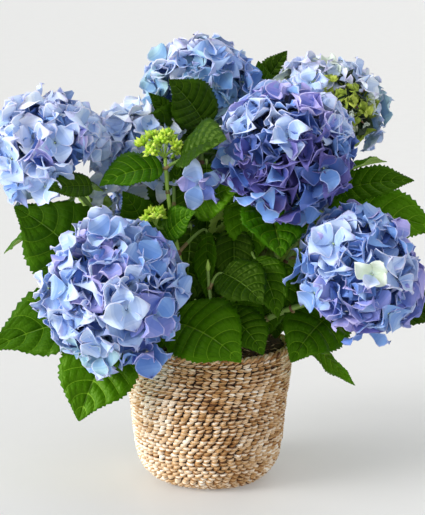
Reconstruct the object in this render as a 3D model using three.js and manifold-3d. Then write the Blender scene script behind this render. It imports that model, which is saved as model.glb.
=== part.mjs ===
// A potted mophead hydrangea in a soft basket of twined seagrass.
// Millimetres, +Z up, the front faces -Y, and the origin is the centre of the basket's flat underside.
// Canes rise from the soil. Each carries a mass of leaves, and most end in a round head of florets.
import * as THREE from 'three';
import { mergeVertices } from 'three/addons/utils/BufferGeometryUtils.js';
import Module from 'manifold-3d';

const wasm = await Module();
wasm.setup();

// Driving sizes
const GAP = 0.3;
const BASKET_WALL = 6.5;
const BASKET_SIDES = 28;
const BASKET_PROFILE = [[58, 0], [70, 5], [82.5, 20], [89, 47], [93.5, 90], [95, 117], [86, 162]];
const BAND_FIRST = 19;
const BAND_PITCH = 28;
const BAND_GROOVE = 3;
const BAND_RELIEF = 2.3;
const RIM_LEAN = 13;
const LEAN_FROM = 100;
const LEAN_TO = 163;
const BASKET_FLOOR = 8;
const SOIL_EDGE = 150;
const SOIL_TOP = 174;
const SOCKET_DEPTH = 12;
const CANE_RADIUS = 4.4;
const CANE_TIP = 0.6;
const CANE_SIDES = 6;
const CANE_STEPS = 4;
const PETIOLE_RADIUS = 1.9;
const LEAF_THICKNESS = 2.2;
const LEAF_FOLD = 15;
const FLORETS = 13;
const FLORET_REACH = 0.36;
const CORE = 0.86;
const HEAD_FOOT = 0.5;
const BUD = { radius: 30, height: 17, knobs: 12 };
const YOUNG_BUD = { place: [-60, -48, 322], radius: 15, height: 10, knobs: 5, share: 0.6 };
const SMALL_BLOOM = { place: [-12, -46, 352], radius: 9, reach: 17, share: 0.72 };
const SMALL_FLORETS = [[-9, 2, 0.2], [11, 6, 1.1], [4, -12, 0.6]];
const TWIG_RADIUS = 2;

const COLOURS = {
  basket: 0xd8c29a, soil: 0x3a2a1c, cane: 0x6f8f3c, leaves: 0x2e6b1f, bloom: 0x8fa3e0, bud: 0xb5d040,
};

// Heads: centre, radius, height over radius, and the way the head faces (yaw and tilt from upright)
const HEADS = {
  left: { centre: [-184, -15, 399], radius: 66, squash: 0.95, yaw: 190, tilt: 30 },
  midleft: { centre: [-84, 55, 385], radius: 51, squash: 0.95, yaw: 200, tilt: 10 },
  top: { centre: [-10, 110, 456], radius: 71, squash: 0.8, yaw: 90, tilt: 10 },
  centre: { centre: [90, -60, 403], radius: 84, squash: 0.88, yaw: -75, tilt: 35 },
  topright: { centre: [146, 98, 435], radius: 79, squash: 0.74, yaw: 40, tilt: 25 },
  lowleft: { centre: [-105, -105, 247], radius: 89, squash: 0.97, yaw: 225, tilt: 60 },
  lowright: { centre: [169, -92, 267], radius: 79, squash: 0.92, yaw: -35, tilt: 50 },
  backleft: { centre: [-88, 128, 262], radius: 70, squash: 0.9, yaw: 125, tilt: 50 },
  backright: { centre: [108, 134, 285], radius: 72, squash: 0.9, yaw: 55, tilt: 50 },
};

// Canes: where each leaves the soil, where a cane with no head ends, and the share below its leaves
const CANES = {
  left: { foot: [-30, -5], fork: 0.35 },
  midleft: { foot: [-12, 12], fork: 0.35 },
  top: { foot: [0, 30], fork: 0.4 },
  centre: { foot: [20, 2], fork: 0.35 },
  topright: { foot: [32, 16], fork: 0.4 },
  lowleft: { foot: [-32, -28], fork: 0.3 },
  lowright: { foot: [40, -18], fork: 0.35 },
  backleft: { foot: [-30, 30], fork: 0.3 },
  backright: { foot: [28, 42], fork: 0.3 },
  bud: { foot: [-18, -20], fork: 0.35, tip: [-49, -35, 389], slim: 0.75 },
  front: { foot: [10, -44], fork: 0.12, tip: [0, -52, 262], slim: 0.7 },
  shoot: { foot: [10, 48], fork: 0.4, tip: [56, 146, 428], slim: 0.75 },
  right: { foot: [46, 4], fork: 0.4, tip: [122, 14, 338], slim: 0.75 },
  back: { foot: [-8, 52], fork: 0.2, tip: [6, 122, 322], slim: 0.75 },
};

// Leaves set by hand, by cane: node along the cane, blade's foot, then yaw, pitch, length, width, roll, bend
const PLACED = {
  bud: [
    [0.81, [-52, -34, 377], -160, 5, 79, 52, 35, 35],
    [0.94, [-31, -52, 391], -50, 35, 86, 64, -50, 30],
    [0.64, [-18, -15, 325], -35, 40, 78, 59, -70, 25],
    [0.48, [-50, -40, 297], -40, 50, 59, 41, -75, 25],
    [0.49, [-2, -6, 297], -90, -52, 80, 38, -45, 20],
  ],
  top: [
    [0.95, [-3, 42, 417], -155, 60, 74, 62, 85, 20],
    [0.95, [-38, 46, 416], -160, 60, 54, 23, 100, 20],
  ],
  shoot: [
    [0.97, [67, 160, 442], 10, 70, 64, 38, -75, 20],
    [0.9, [67, 140, 428], 120, 90, 59, 35, 30, 20],
  ],
  left: [
    [0.92, [-132, -52, 359], -145, 10, 58, 35, 50, 20],
    [0.52, [-134, -6, 246], -160, 55, 130, 104, 100, 25],
  ],
  lowleft: [
    [0.56, [-112, -6, 194], -160, 5, 153, 101, 40, 30],
    [0.86, [-100, -48, 182], -135, -35, 113, 95, 35, 35],
  ],
  front: [
    [0.3, [-40, -52, 200], -40, 0, 107, 92, -40, 35],
    [0.25, [24, -60, 210], -40, -20, 65, 52, -35, 35],
    [0.76, [16, -62, 260], -45, -5, 71, 62, -35, 35],
  ],
  centre: [
    [0.5, [54, -45, 274], -60, -30, 81, 50, -25, 40],
    [0.73, [69, -32, 333], -80, -15, 88, 79, 0, 35],
    [0.58, [30, -10, 303], -90, -55, 82, 49, -5, 20],
  ],
  lowright: [
    [0.78, [151, -12, 204], -130, -10, 100, 80, 35, 35],
    [0.56, [120, -22, 165], -35, -20, 74, 44, -125, 25],
    [0.86, [171, 2, 215], -20, 5, 116, 70, -40, 30],
  ],
  right: [
    [0.92, [144, 16, 315], -5, 5, 132, 71, -60, 25],
    [0.97, [153, 15, 343], -15, 20, 92, 42, -60, 20],
  ],
  midleft: [
    [0.71, [-38, 5, 316], -75, 95, 66, 30, -160, 20],
    [0.56, [-69, 5, 286], -150, 70, 71, 47, 115, 20],
  ],
};

// Leaves set by rule: pairs up each cane, every pair turned a quarter from the last, behind the front
const RULE = {
  seed: 29, first: 0.42, step: 0.11, last: 0.97, tries: 30, length: [68, 122], pitch: [-40, 45], petiole: [24, 44],
};
const CLEARANCE = 11;
const STALK_CLEARANCE = 9;
const HEAD_CLEARANCE = 4;
const LOWEST_LEAF = 60;
const BASKET_KEEP_OUT = { height: 176, x: 6, radius: 106 };

const UP = new THREE.Vector3(0, 0, 1);
const rad = THREE.MathUtils.degToRad;
const vector = (values) => new THREE.Vector3(...values);

// A seeded generator of numbers from 0 to 1
function seeded(seed) {
  let state = seed >>> 0;
  return () => {
    state = (state + 0x6d2b79f5) >>> 0;
    let mix = Math.imul(state ^ (state >>> 15), 1 | state);
    mix = (mix + Math.imul(mix ^ (mix >>> 7), 61 | mix)) ^ mix;
    return ((mix ^ (mix >>> 14)) >>> 0) / 4294967296;
  };
}

function heading(yaw, pitch) {
  const flat = Math.cos(rad(pitch));
  return new THREE.Vector3(flat * Math.cos(rad(yaw)), flat * Math.sin(rad(yaw)), Math.sin(rad(pitch)));
}

function headAxis(head) {
  return heading(head.yaw, 90 - head.tilt);
}

// Solids: a closed geometry becomes a manifold solid and goes back
function toSolid(geometry) {
  const bare = geometry.clone();
  bare.deleteAttribute('normal');
  bare.deleteAttribute('uv');
  const merged = mergeVertices(bare, 1e-4);
  return new wasm.Manifold(new wasm.Mesh({
    numProp: 3,
    vertProperties: new Float32Array(merged.attributes.position.array),
    triVerts: new Uint32Array(merged.index.array),
  }));
}

function toGeometry(solid) {
  const mesh = solid.getMesh();
  const geometry = new THREE.BufferGeometry();
  geometry.setAttribute('position', new THREE.BufferAttribute(new Float32Array(mesh.vertProperties), 3));
  geometry.setIndex(new THREE.BufferAttribute(new Uint32Array(mesh.triVerts), 1));
  geometry.computeVertexNormals();
  return geometry;
}

const fuse = (solids) => solids.reduce((all, next) => all.add(next));

function facets(points, faces) {
  const geometry = new THREE.BufferGeometry();
  geometry.setAttribute('position', new THREE.Float32BufferAttribute(points.flatMap((p) => p.toArray()), 3));
  geometry.setIndex(faces.flat());
  return geometry;
}

// A tapering round limb along a curve, closed at both ends
function limb(curve, from, to, startRadius, endRadius, sides, steps) {
  const points = [];
  const faces = [];
  const start = curve.getTangent(from);
  let across = new THREE.Vector3().crossVectors(start, Math.abs(start.z) < 0.9 ? UP : vector([1, 0, 0]));
  for (let i = 0; i <= steps; i += 1) {
    const t = from + ((to - from) * i) / steps;
    const tangent = curve.getTangent(t);
    across = across.clone().addScaledVector(tangent, -across.dot(tangent)).normalize();
    const upward = new THREE.Vector3().crossVectors(tangent, across);
    const radius = startRadius + ((endRadius - startRadius) * i) / steps;
    for (let j = 0; j < sides; j += 1) {
      const turn = (2 * Math.PI * j) / sides;
      points.push(curve.getPoint(t).addScaledVector(across, radius * Math.cos(turn))
        .addScaledVector(upward, radius * Math.sin(turn)));
    }
  }
  for (let i = 0; i < steps; i += 1) {
    for (let j = 0; j < sides; j += 1) {
      const a = i * sides + j;
      const b = i * sides + ((j + 1) % sides);
      faces.push([a, b, b + sides], [a, b + sides, a + sides]);
    }
  }
  for (let j = 1; j < sides - 1; j += 1) {
    const last = steps * sides;
    faces.push([0, j + 1, j], [last, last + j, last + j + 1]);
  }
  return toSolid(facets(points, faces));
}

// The basket leans: its rim sits a little towards +X
function lean(z) {
  const t = THREE.MathUtils.clamp((z - LEAN_FROM) / (LEAN_TO - LEAN_FROM), 0, 1);
  return RIM_LEAN * t * t * (3 - 2 * t);
}

// A round body turned about Z from a profile of [radius, height], then leaned
function turned(profile, sides) {
  const geometry = new THREE.LatheGeometry(profile.map(([r, z]) => new THREE.Vector2(r, z)), sides);
  geometry.rotateX(Math.PI / 2);
  const position = geometry.attributes.position;
  for (let i = 0; i < position.count; i += 1) {
    position.setX(i, position.getX(i) + lean(position.getZ(i)));
  }
  return toSolid(geometry);
}

const basketCurve = new THREE.SplineCurve(BASKET_PROFILE.map(([r, z]) => new THREE.Vector2(r, z)));
const outside = basketCurve.getPoints(10).map((p) => [p.x, p.y]);

// The wall's inner face: the outer one moved in by the wall's thickness, above the basket's floor
function inside(clearance) {
  const shift = BASKET_WALL + clearance;
  const floor = BASKET_FLOOR + clearance;
  return outside.filter(([, z]) => z > floor + 4).map(([r, z]) => [r - shift, z]);
}

// The wall's smooth outer radius at a height
function wallRadius(height) {
  const points = basketCurve.getPoints(60);
  const above = points.findIndex((point) => point.y >= height);
  const low = points[above - 1];
  const high = points[above];
  return low.x + ((high.x - low.x) * (height - low.y)) / (high.y - low.y);
}

// The outer face: bands of the weave one over another, with a groove round the wall between each two
function banded() {
  const rim = outside[outside.length - 1];
  const rows = outside.filter(([, z]) => z < BAND_FIRST - 2 * BAND_GROOVE);
  for (let z = BAND_FIRST; z < rim[1] - 2 * BAND_GROOVE; z += BAND_PITCH) {
    rows.push([wallRadius(z - BAND_GROOVE), z - BAND_GROOVE]);
    rows.push([wallRadius(z) - BAND_RELIEF, z]);
    rows.push([wallRadius(z + BAND_GROOVE), z + BAND_GROOVE]);
  }
  return [...rows, rim];
}

function basket() {
  const inner = inside(0).reverse();
  const [foot] = inner.slice(-1);
  const profile = [[0, 0], ...banded(), ...inner, [foot[0] - 5, BASKET_FLOOR], [0, BASKET_FLOOR]];
  return turned(profile, BASKET_SIDES);
}

function soil() {
  const wall = inside(GAP).filter(([, z]) => z < SOIL_EDGE);
  const [first] = wall;
  const [edge] = wall.slice(-1);
  const bottom = [[0, BASKET_FLOOR + GAP], [first[0] - 5, BASKET_FLOOR + GAP]];
  const mound = [[edge[0] - 12, SOIL_EDGE + 14], [55, SOIL_TOP - 2], [0, SOIL_TOP + 6]];
  return turned([...bottom, ...wall, ...mound], BASKET_SIDES);
}

// A cane's whole line, from the floor of its socket to its head's underside or its own tip
function caneLine(name, sunk = 0) {
  const cane = CANES[name];
  const start = new THREE.Vector3(cane.foot[0], cane.foot[1], SOIL_TOP - SOCKET_DEPTH - sunk);
  const head = HEADS[name];
  const axis = head ? headAxis(head) : heading(0, 90);
  const end = head ? vector(head.centre).addScaledVector(axis, -headDepth(head) - GAP) : vector(cane.tip);
  const span = end.clone().sub(start);
  const low = start.clone().add(new THREE.Vector3(0.15 * span.x, 0.15 * span.y, 0.35 * span.length()));
  const high = end.clone().addScaledVector(axis, -0.3 * span.length());
  return new THREE.CubicBezierCurve3(start, low, high, end);
}

const caneRadius = (name, t) => CANE_RADIUS * (CANES[name].slim ?? 1) * (1 - (1 - CANE_TIP) * t);

// How far below a head's centre its flat foot lies
const headDepth = (head) => HEAD_FOOT * head.radius * head.squash;

// The blade's frame at a share of its length
function bladeAt(leaf, u) {
  const start = rad(leaf.pitch);
  const bend = rad(leaf.bend);
  const angle = start - bend * u;
  const out = (leaf.length * (Math.sin(start) - Math.sin(angle))) / bend;
  const rise = (leaf.length * (Math.cos(angle) - Math.cos(start))) / bend;
  const flat = heading(leaf.yaw, 0);
  const point = leaf.foot.clone().addScaledVector(flat, out).addScaledVector(UP, rise);
  const along = flat.clone().multiplyScalar(Math.cos(angle)).addScaledVector(UP, Math.sin(angle));
  const plain = flat.clone().multiplyScalar(-Math.sin(angle)).addScaledVector(UP, Math.cos(angle));
  const across = new THREE.Vector3().crossVectors(along, plain);
  const roll = rad(leaf.roll);
  const side = across.clone().multiplyScalar(Math.cos(roll)).addScaledVector(plain, Math.sin(roll));
  const normal = plain.multiplyScalar(Math.cos(roll)).addScaledVector(across, -Math.sin(roll));
  return { point, along, side, normal };
}

// Half the blade's width at a share of its length: broad below the middle and drawn to a point
function halfWidth(leaf, u) {
  const peak = Math.sqrt(0.4) * 0.6 ** 0.75;
  return (0.5 * leaf.width * Math.sqrt(u) * (1 - u) ** 0.75) / peak;
}

function bladeEdge(leaf, u, hand) {
  const { point, side, normal } = bladeAt(leaf, u);
  const half = halfWidth(leaf, u);
  return point.addScaledVector(side, hand * half * Math.cos(rad(LEAF_FOLD)))
    .addScaledVector(normal, half * Math.sin(rad(LEAF_FOLD)));
}

// A leaf's blade: a folded, arching lens with a sharp rim
function blade(leaf) {
  const stations = [0.1, 0.36, 0.64, 0.87];
  const points = [bladeAt(leaf, 0).point];
  const faces = [];
  for (const u of stations) {
    const { point, normal } = bladeAt(leaf, u);
    points.push(bladeEdge(leaf, u, -1), point.clone().addScaledVector(normal, LEAF_THICKNESS / 2));
    points.push(bladeEdge(leaf, u, 1), point.clone().addScaledVector(normal, -LEAF_THICKNESS / 2));
  }
  points.push(bladeAt(leaf, 1).point);
  const tip = points.length - 1;
  for (let j = 0; j < 4; j += 1) {
    const k = (j + 1) % 4;
    faces.push([0, 1 + k, 1 + j], [tip, tip - 4 + j, tip - 4 + k]);
    for (let i = 0; i < stations.length - 1; i += 1) {
      const a = 1 + 4 * i + j;
      const b = 1 + 4 * i + k;
      faces.push([a, b, b + 4], [a, b + 4, a + 4]);
    }
  }
  return toSolid(facets(points, faces));
}

// A leaf's stalk, sunk into the cane at one end and into the blade at the other
function petiole(leaf) {
  const { along } = bladeAt(leaf, 0);
  const sunk = leaf.foot.clone().addScaledVector(along, 0.09 * leaf.length);
  const reach = leaf.foot.distanceTo(leaf.node);
  const low = leaf.node.clone().lerp(leaf.foot, 0.35).addScaledVector(UP, 0.08 * reach);
  const high = leaf.foot.clone().addScaledVector(along, -0.35 * reach);
  const curve = new THREE.CubicBezierCurve3(leaf.node, low, high, sunk);
  return limb(curve, 0, 1, PETIOLE_RADIUS, 0.75 * PETIOLE_RADIUS, 3, 3);
}

// Points over a blade, for telling whether it comes too near to something
function bladePoints(leaf) {
  const points = [];
  for (const u of [0.1, 0.3, 0.5, 0.7, 0.9]) {
    const left = bladeEdge(leaf, u, -1);
    const middle = bladeAt(leaf, u).point;
    const right = bladeEdge(leaf, u, 1);
    points.push(left, left.clone().lerp(middle, 0.5), middle, middle.clone().lerp(right, 0.5), right);
  }
  return points;
}

// Points along a leaf's stalk
function stalkPoints(leaf) {
  return [0.5, 0.8].map((share) => leaf.node.clone().lerp(leaf.foot, share));
}

function insideHead(point, head) {
  const offset = point.clone().sub(vector(head.centre));
  const axis = headAxis(head);
  const along = offset.dot(axis) / head.squash;
  const across = offset.clone().addScaledVector(axis, -offset.dot(axis)).length();
  return Math.hypot(along, across) < head.radius + HEAD_CLEARANCE;
}

function clear(leaf, taken, lines) {
  const near = (point, gap) => taken.some((other) => other.distanceTo(point) < gap);
  const freeStalk = stalkPoints(leaf).every((point) => !near(point, STALK_CLEARANCE));
  return freeStalk && bladePoints(leaf).every((point) => {
    const { height, x, radius } = BASKET_KEEP_OUT;
    const nearBasket = point.z < height && Math.hypot(point.x - x, point.y) < radius;
    return !nearBasket && point.z > LOWEST_LEAF
      && !Object.values(HEADS).some((head) => insideHead(point, head))
      && !near(point, CLEARANCE)
      && !lines.some((other) => other.distanceTo(point) < CLEARANCE);
  });
}

// A leaf by rule from a node, after a few tries, or nothing where there is no room for one
function grownLeaf(cane, node, turn, random, taken, lines) {
  const between = (low, high) => low + (high - low) * random();
  for (let tries = 0; tries < RULE.tries; tries += 1) {
    const yaw = turn + between(-30, 30);
    const pitch = between(...RULE.pitch);
    const length = between(...RULE.length);
    const width = length * between(0.66, 0.8);
    const stalk = heading(yaw, pitch + 20).multiplyScalar(between(...RULE.petiole));
    const roll = between(-18, 18);
    const bend = between(30, 55);
    const leaf = { cane, node, foot: node.clone().add(stalk), yaw, pitch, length, width, roll, bend };
    if (Math.sin(rad(yaw)) > -0.2 && leaf.foot.y > 0 && clear(leaf, taken, lines)) {
      return leaf;
    }
  }
  return null;
}

// Every leaf of the plant: the placed ones, then pairs by rule wherever there is room behind
function allLeaves() {
  const leaves = [];
  for (const [cane, rows] of Object.entries(PLACED)) {
    const line = caneLine(cane);
    for (const [t, foot, yaw, pitch, length, width, roll, bend] of rows) {
      leaves.push({ cane, node: line.getPoint(t), foot: vector(foot), yaw, pitch, length, width, roll, bend });
    }
  }
  const taken = leaves.flatMap((leaf) => [...bladePoints(leaf), ...stalkPoints(leaf)]);
  const lines = Object.keys(CANES).flatMap((name) => caneLine(name).getPoints(24));
  const random = seeded(RULE.seed);
  for (const cane of Object.keys(CANES)) {
    const line = caneLine(cane);
    let turn = 360 * random();
    for (let t = RULE.first; t <= RULE.last; t += RULE.step) {
      turn += 90;
      for (const half of [0, 180]) {
        const leaf = grownLeaf(cane, line.getPoint(t), turn + half, random, taken, lines);
        if (t > CANES[cane].fork + 0.04 && leaf) {
          leaves.push(leaf);
          taken.push(...bladePoints(leaf), ...stalkPoints(leaf));
        }
      }
    }
  }
  return leaves;
}

// One floret: a shallow bowl of four sepals about its own axis, its foot sunk into what bears it
function floret(centre, axis, spin, reach) {
  const east = new THREE.Vector3().crossVectors(axis, Math.abs(axis.z) < 0.9 ? UP : vector([1, 0, 0])).normalize();
  const north = new THREE.Vector3().crossVectors(axis, east);
  const rim = [];
  for (let j = 0; j < 8; j += 1) {
    const turn = spin + (Math.PI * j) / 4;
    const out = j % 2 === 0 ? reach : 0.66 * reach;
    rim.push(centre.clone().addScaledVector(east, out * Math.cos(turn))
      .addScaledVector(north, out * Math.sin(turn)).addScaledVector(axis, 0.12 * out));
  }
  const throat = centre.clone().addScaledVector(axis, -0.02 * reach);
  const foot = centre.clone().addScaledVector(axis, -0.55 * reach);
  const faces = rim.flatMap((_, j) => [[8, j, (j + 1) % 8], [9, (j + 1) % 8, j]]);
  return toSolid(facets([...rim, throat, foot], faces));
}

// A head: a closed core with a flat foot, and florets spread evenly over it that stand out
function bloom(head, seed) {
  const random = seeded(seed);
  const tall = head.squash;
  const profile = [[0, -0.5 * tall / CORE], [0.3, -0.5 * tall / CORE], [0.86, -0.44 * tall], [1, 0], [0.9, 0.44 * tall],
    [0.66, 0.75 * tall], [0.34, 0.94 * tall], [0, tall]];
  const size = CORE * head.radius;
  const lathe = new THREE.LatheGeometry(profile.map(([r, z]) => new THREE.Vector2(r * size, z * size)), 12);
  const axis = headAxis(head);
  const upright = new THREE.Quaternion().setFromUnitVectors(new THREE.Vector3(0, 1, 0), axis);
  lathe.applyQuaternion(upright).translate(...head.centre);
  const pieces = [toSolid(lathe)];
  for (let i = 0; i < FLORETS; i += 1) {
    const level = 1 - (1.3 * (i + 0.5)) / FLORETS;
    const ring = Math.sqrt(1 - level * level);
    const turn = i * Math.PI * (3 - Math.sqrt(5)) + 0.3 * random();
    const local = new THREE.Vector3(ring * Math.cos(turn), level, ring * Math.sin(turn));
    const normal = local.clone().setY(level / tall).normalize().applyQuaternion(upright);
    const place = local.clone().multiply(vector([1, tall, 1])).multiplyScalar(0.92 * head.radius);
    const tipped = normal.add(new THREE.Vector3(random() - 0.5, random() - 0.5, random() - 0.5).multiplyScalar(0.5));
    pieces.push(floret(place.applyQuaternion(upright).add(vector(head.centre)), tipped.normalize(),
      6.28 * random(), FLORET_REACH * head.radius));
  }
  return fuse(pieces);
}

// A young head still in bud: a low dome of small knobs on a core
function budHead(centre, radius, height, knobs, seed) {
  const random = seeded(seed);
  const core = new THREE.SphereGeometry(0.84 * radius, 12, 7).rotateX(Math.PI / 2);
  core.scale(1, 1, height / radius).translate(...centre.toArray());
  const pieces = [toSolid(core)];
  for (let i = 0; i < knobs; i += 1) {
    const level = 1 - (1.5 * (i + 0.5)) / knobs;
    const ring = Math.sqrt(1 - level * level);
    const turn = i * Math.PI * (3 - Math.sqrt(5));
    const knob = new THREE.OctahedronGeometry(0.2 * radius).rotateZ(6.28 * random());
    knob.translate(centre.x + 0.84 * radius * ring * Math.cos(turn),
      centre.y + 0.84 * radius * ring * Math.sin(turn), centre.z + 0.84 * height * level);
    pieces.push(toSolid(knob));
  }
  return fuse(pieces);
}

const plant = new THREE.Group();

function addNode(name, solid, colour, roughness) {
  const material = new THREE.MeshStandardMaterial({ color: COLOURS[colour], roughness, metalness: 0 });
  const mesh = new THREE.Mesh(toGeometry(solid), material);
  mesh.name = name;
  plant.add(mesh);
}

function shortTwig(from, to, radius) {
  const middle = from.clone().lerp(to, 0.5).addScaledVector(UP, -4);
  return limb(new THREE.QuadraticBezierCurve3(from, middle, to), 0, 1, radius, 0.8 * radius, 5, 3);
}

// A mass: the leafy upper part of a cane with its leaves, and anything small that blooms on it
function mass(name, leaves) {
  const { fork } = CANES[name];
  const line = caneLine(name);
  const gap = GAP / line.getLength();
  const pieces = [limb(line, fork + gap, 1, caneRadius(name, fork), caneRadius(name, 1), 5, 7)];
  for (const leaf of leaves) {
    pieces.push(petiole(leaf), blade(leaf));
  }
  if (name === 'bud') {
    const young = vector(YOUNG_BUD.place);
    pieces.push(shortTwig(line.getPoint(YOUNG_BUD.share), young, TWIG_RADIUS));
    pieces.push(budHead(young, YOUNG_BUD.radius, YOUNG_BUD.height, YOUNG_BUD.knobs, 5));
    const small = vector(SMALL_BLOOM.place);
    pieces.push(shortTwig(line.getPoint(SMALL_BLOOM.share), small, TWIG_RADIUS));
    pieces.push(toSolid(new THREE.IcosahedronGeometry(SMALL_BLOOM.radius, 0).translate(...small.toArray())));
    for (const [dx, dz, spin] of SMALL_FLORETS) {
      const centre = small.clone().add(new THREE.Vector3(dx, -4, dz));
      pieces.push(floret(centre, heading(-90 + 2 * dx, 20 + dz), spin, SMALL_BLOOM.reach));
    }
  }
  return fuse(pieces);
}

const leaves = allLeaves();
let ground = soil();
for (const name of Object.keys(CANES)) {
  const line = caneLine(name, GAP);
  const radius = caneRadius(name, 0);
  const { fork } = CANES[name];
  ground = ground.subtract(limb(line, 0, fork, radius + GAP, radius + GAP, CANE_SIDES, CANE_STEPS));
}
addNode('basket', basket(), 'basket', 0.85);
addNode('soil', ground, 'soil', 0.95);
for (const [index, name] of Object.keys(CANES).entries()) {
  const { fork } = CANES[name];
  const lower = limb(caneLine(name), 0, fork, caneRadius(name, 0), caneRadius(name, fork), CANE_SIDES, CANE_STEPS);
  addNode(`cane_${name}`, lower, 'cane', 0.6);
  addNode(`leaves_${name}`, mass(name, leaves.filter((leaf) => leaf.cane === name)), 'leaves', 0.5);
  if (HEADS[name]) {
    addNode(`bloom_${name}`, bloom(HEADS[name], 20 + index), 'bloom', 0.7);
  }
}
const budCentre = vector(CANES.bud.tip).add(vector([-6, 0, 0.84 * BUD.height + GAP]));
addNode('bud_head', budHead(budCentre, BUD.radius, BUD.height, BUD.knobs, 9), 'bud', 0.6);

export default plant;
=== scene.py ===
import math

import bpy
import numpy as np
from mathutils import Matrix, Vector


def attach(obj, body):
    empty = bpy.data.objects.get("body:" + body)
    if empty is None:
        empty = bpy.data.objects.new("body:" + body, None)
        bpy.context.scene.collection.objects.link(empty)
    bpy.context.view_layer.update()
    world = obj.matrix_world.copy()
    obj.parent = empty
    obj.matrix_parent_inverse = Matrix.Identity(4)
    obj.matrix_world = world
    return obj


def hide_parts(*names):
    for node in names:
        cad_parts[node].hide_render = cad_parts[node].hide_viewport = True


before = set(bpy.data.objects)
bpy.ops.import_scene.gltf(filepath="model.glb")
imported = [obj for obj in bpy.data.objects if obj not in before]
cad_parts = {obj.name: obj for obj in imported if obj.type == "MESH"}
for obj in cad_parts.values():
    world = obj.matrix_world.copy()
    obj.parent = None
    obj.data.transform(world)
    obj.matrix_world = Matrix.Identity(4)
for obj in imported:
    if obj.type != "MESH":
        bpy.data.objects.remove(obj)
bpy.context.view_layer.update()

MM = 0.001

# ---------------------------------------------------------------- sizes shared with the solids
BASKET_WALL = 6.5
BASKET_PROFILE = [(58, 0), (70, 5), (82.5, 20), (89, 47), (93.5, 90), (95, 117), (86, 162)]
RIM_LEAN = 13
LEAN_FROM = 100
LEAN_TO = 163
SOIL_EDGE = 150
SOIL_TOP = 174
SOCKET_DEPTH = 12
GAP = 0.3
CANE_RADIUS = 4.4
CANE_TIP = 0.6
PETIOLE_RADIUS = 1.9
LEAF_FOLD = 15
HEAD_FOOT = 0.5
# How far leaves keep from each other, stalks from leaves, leaves from heads, and leaves from the basket
CLEARANCE = 11
STALK_CLEARANCE = 9
HEAD_CLEARANCE = 4
LOWEST_LEAF = 60
BASKET_KEEP_OUT = {"height": 176, "x": 6, "radius": 106}
# The head of green buds, the younger buds below it and the two long florets beside it
BUD = {"radius": 30, "height": 17}
YOUNG_BUD = (-60, -48, 322)
SMALL_BLOOM = (-12, -46, 352)

# Heads: centre, radius, height over radius, yaw, tilt from upright
HEADS = {
    "left": ((-184, -15, 399), 66, 0.95, 190, 30),
    "midleft": ((-84, 55, 385), 51, 0.95, 200, 10),
    "top": ((-10, 110, 456), 71, 0.8, 90, 10),
    "centre": ((90, -60, 403), 84, 0.88, -75, 35),
    "topright": ((146, 98, 435), 79, 0.74, 40, 25),
    "lowleft": ((-105, -105, 247), 89, 0.97, 225, 60),
    "lowright": ((169, -92, 267), 79, 0.92, -35, 50),
    "backleft": ((-88, 128, 262), 70, 0.9, 125, 50),
    "backright": ((108, 134, 285), 72, 0.9, 55, 50),
}

# Canes: foot, share below the leaves, own tip where there is no head, slimness
CANES = {
    "left": ((-30, -5), 0.35, None, 1),
    "midleft": ((-12, 12), 0.35, None, 1),
    "top": ((0, 30), 0.4, None, 1),
    "centre": ((20, 2), 0.35, None, 1),
    "topright": ((32, 16), 0.4, None, 1),
    "lowleft": ((-32, -28), 0.3, None, 1),
    "lowright": ((40, -18), 0.35, None, 1),
    "backleft": ((-30, 30), 0.3, None, 1),
    "backright": ((28, 42), 0.3, None, 1),
    "bud": ((-18, -20), 0.35, (-49, -35, 389), 0.75),
    "front": ((10, -44), 0.12, (0, -52, 262), 0.7),
    "shoot": ((10, 48), 0.4, (56, 146, 428), 0.75),
    "right": ((46, 4), 0.4, (122, 14, 338), 0.75),
    "back": ((-8, 52), 0.2, (6, 122, 322), 0.75),
}

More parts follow.
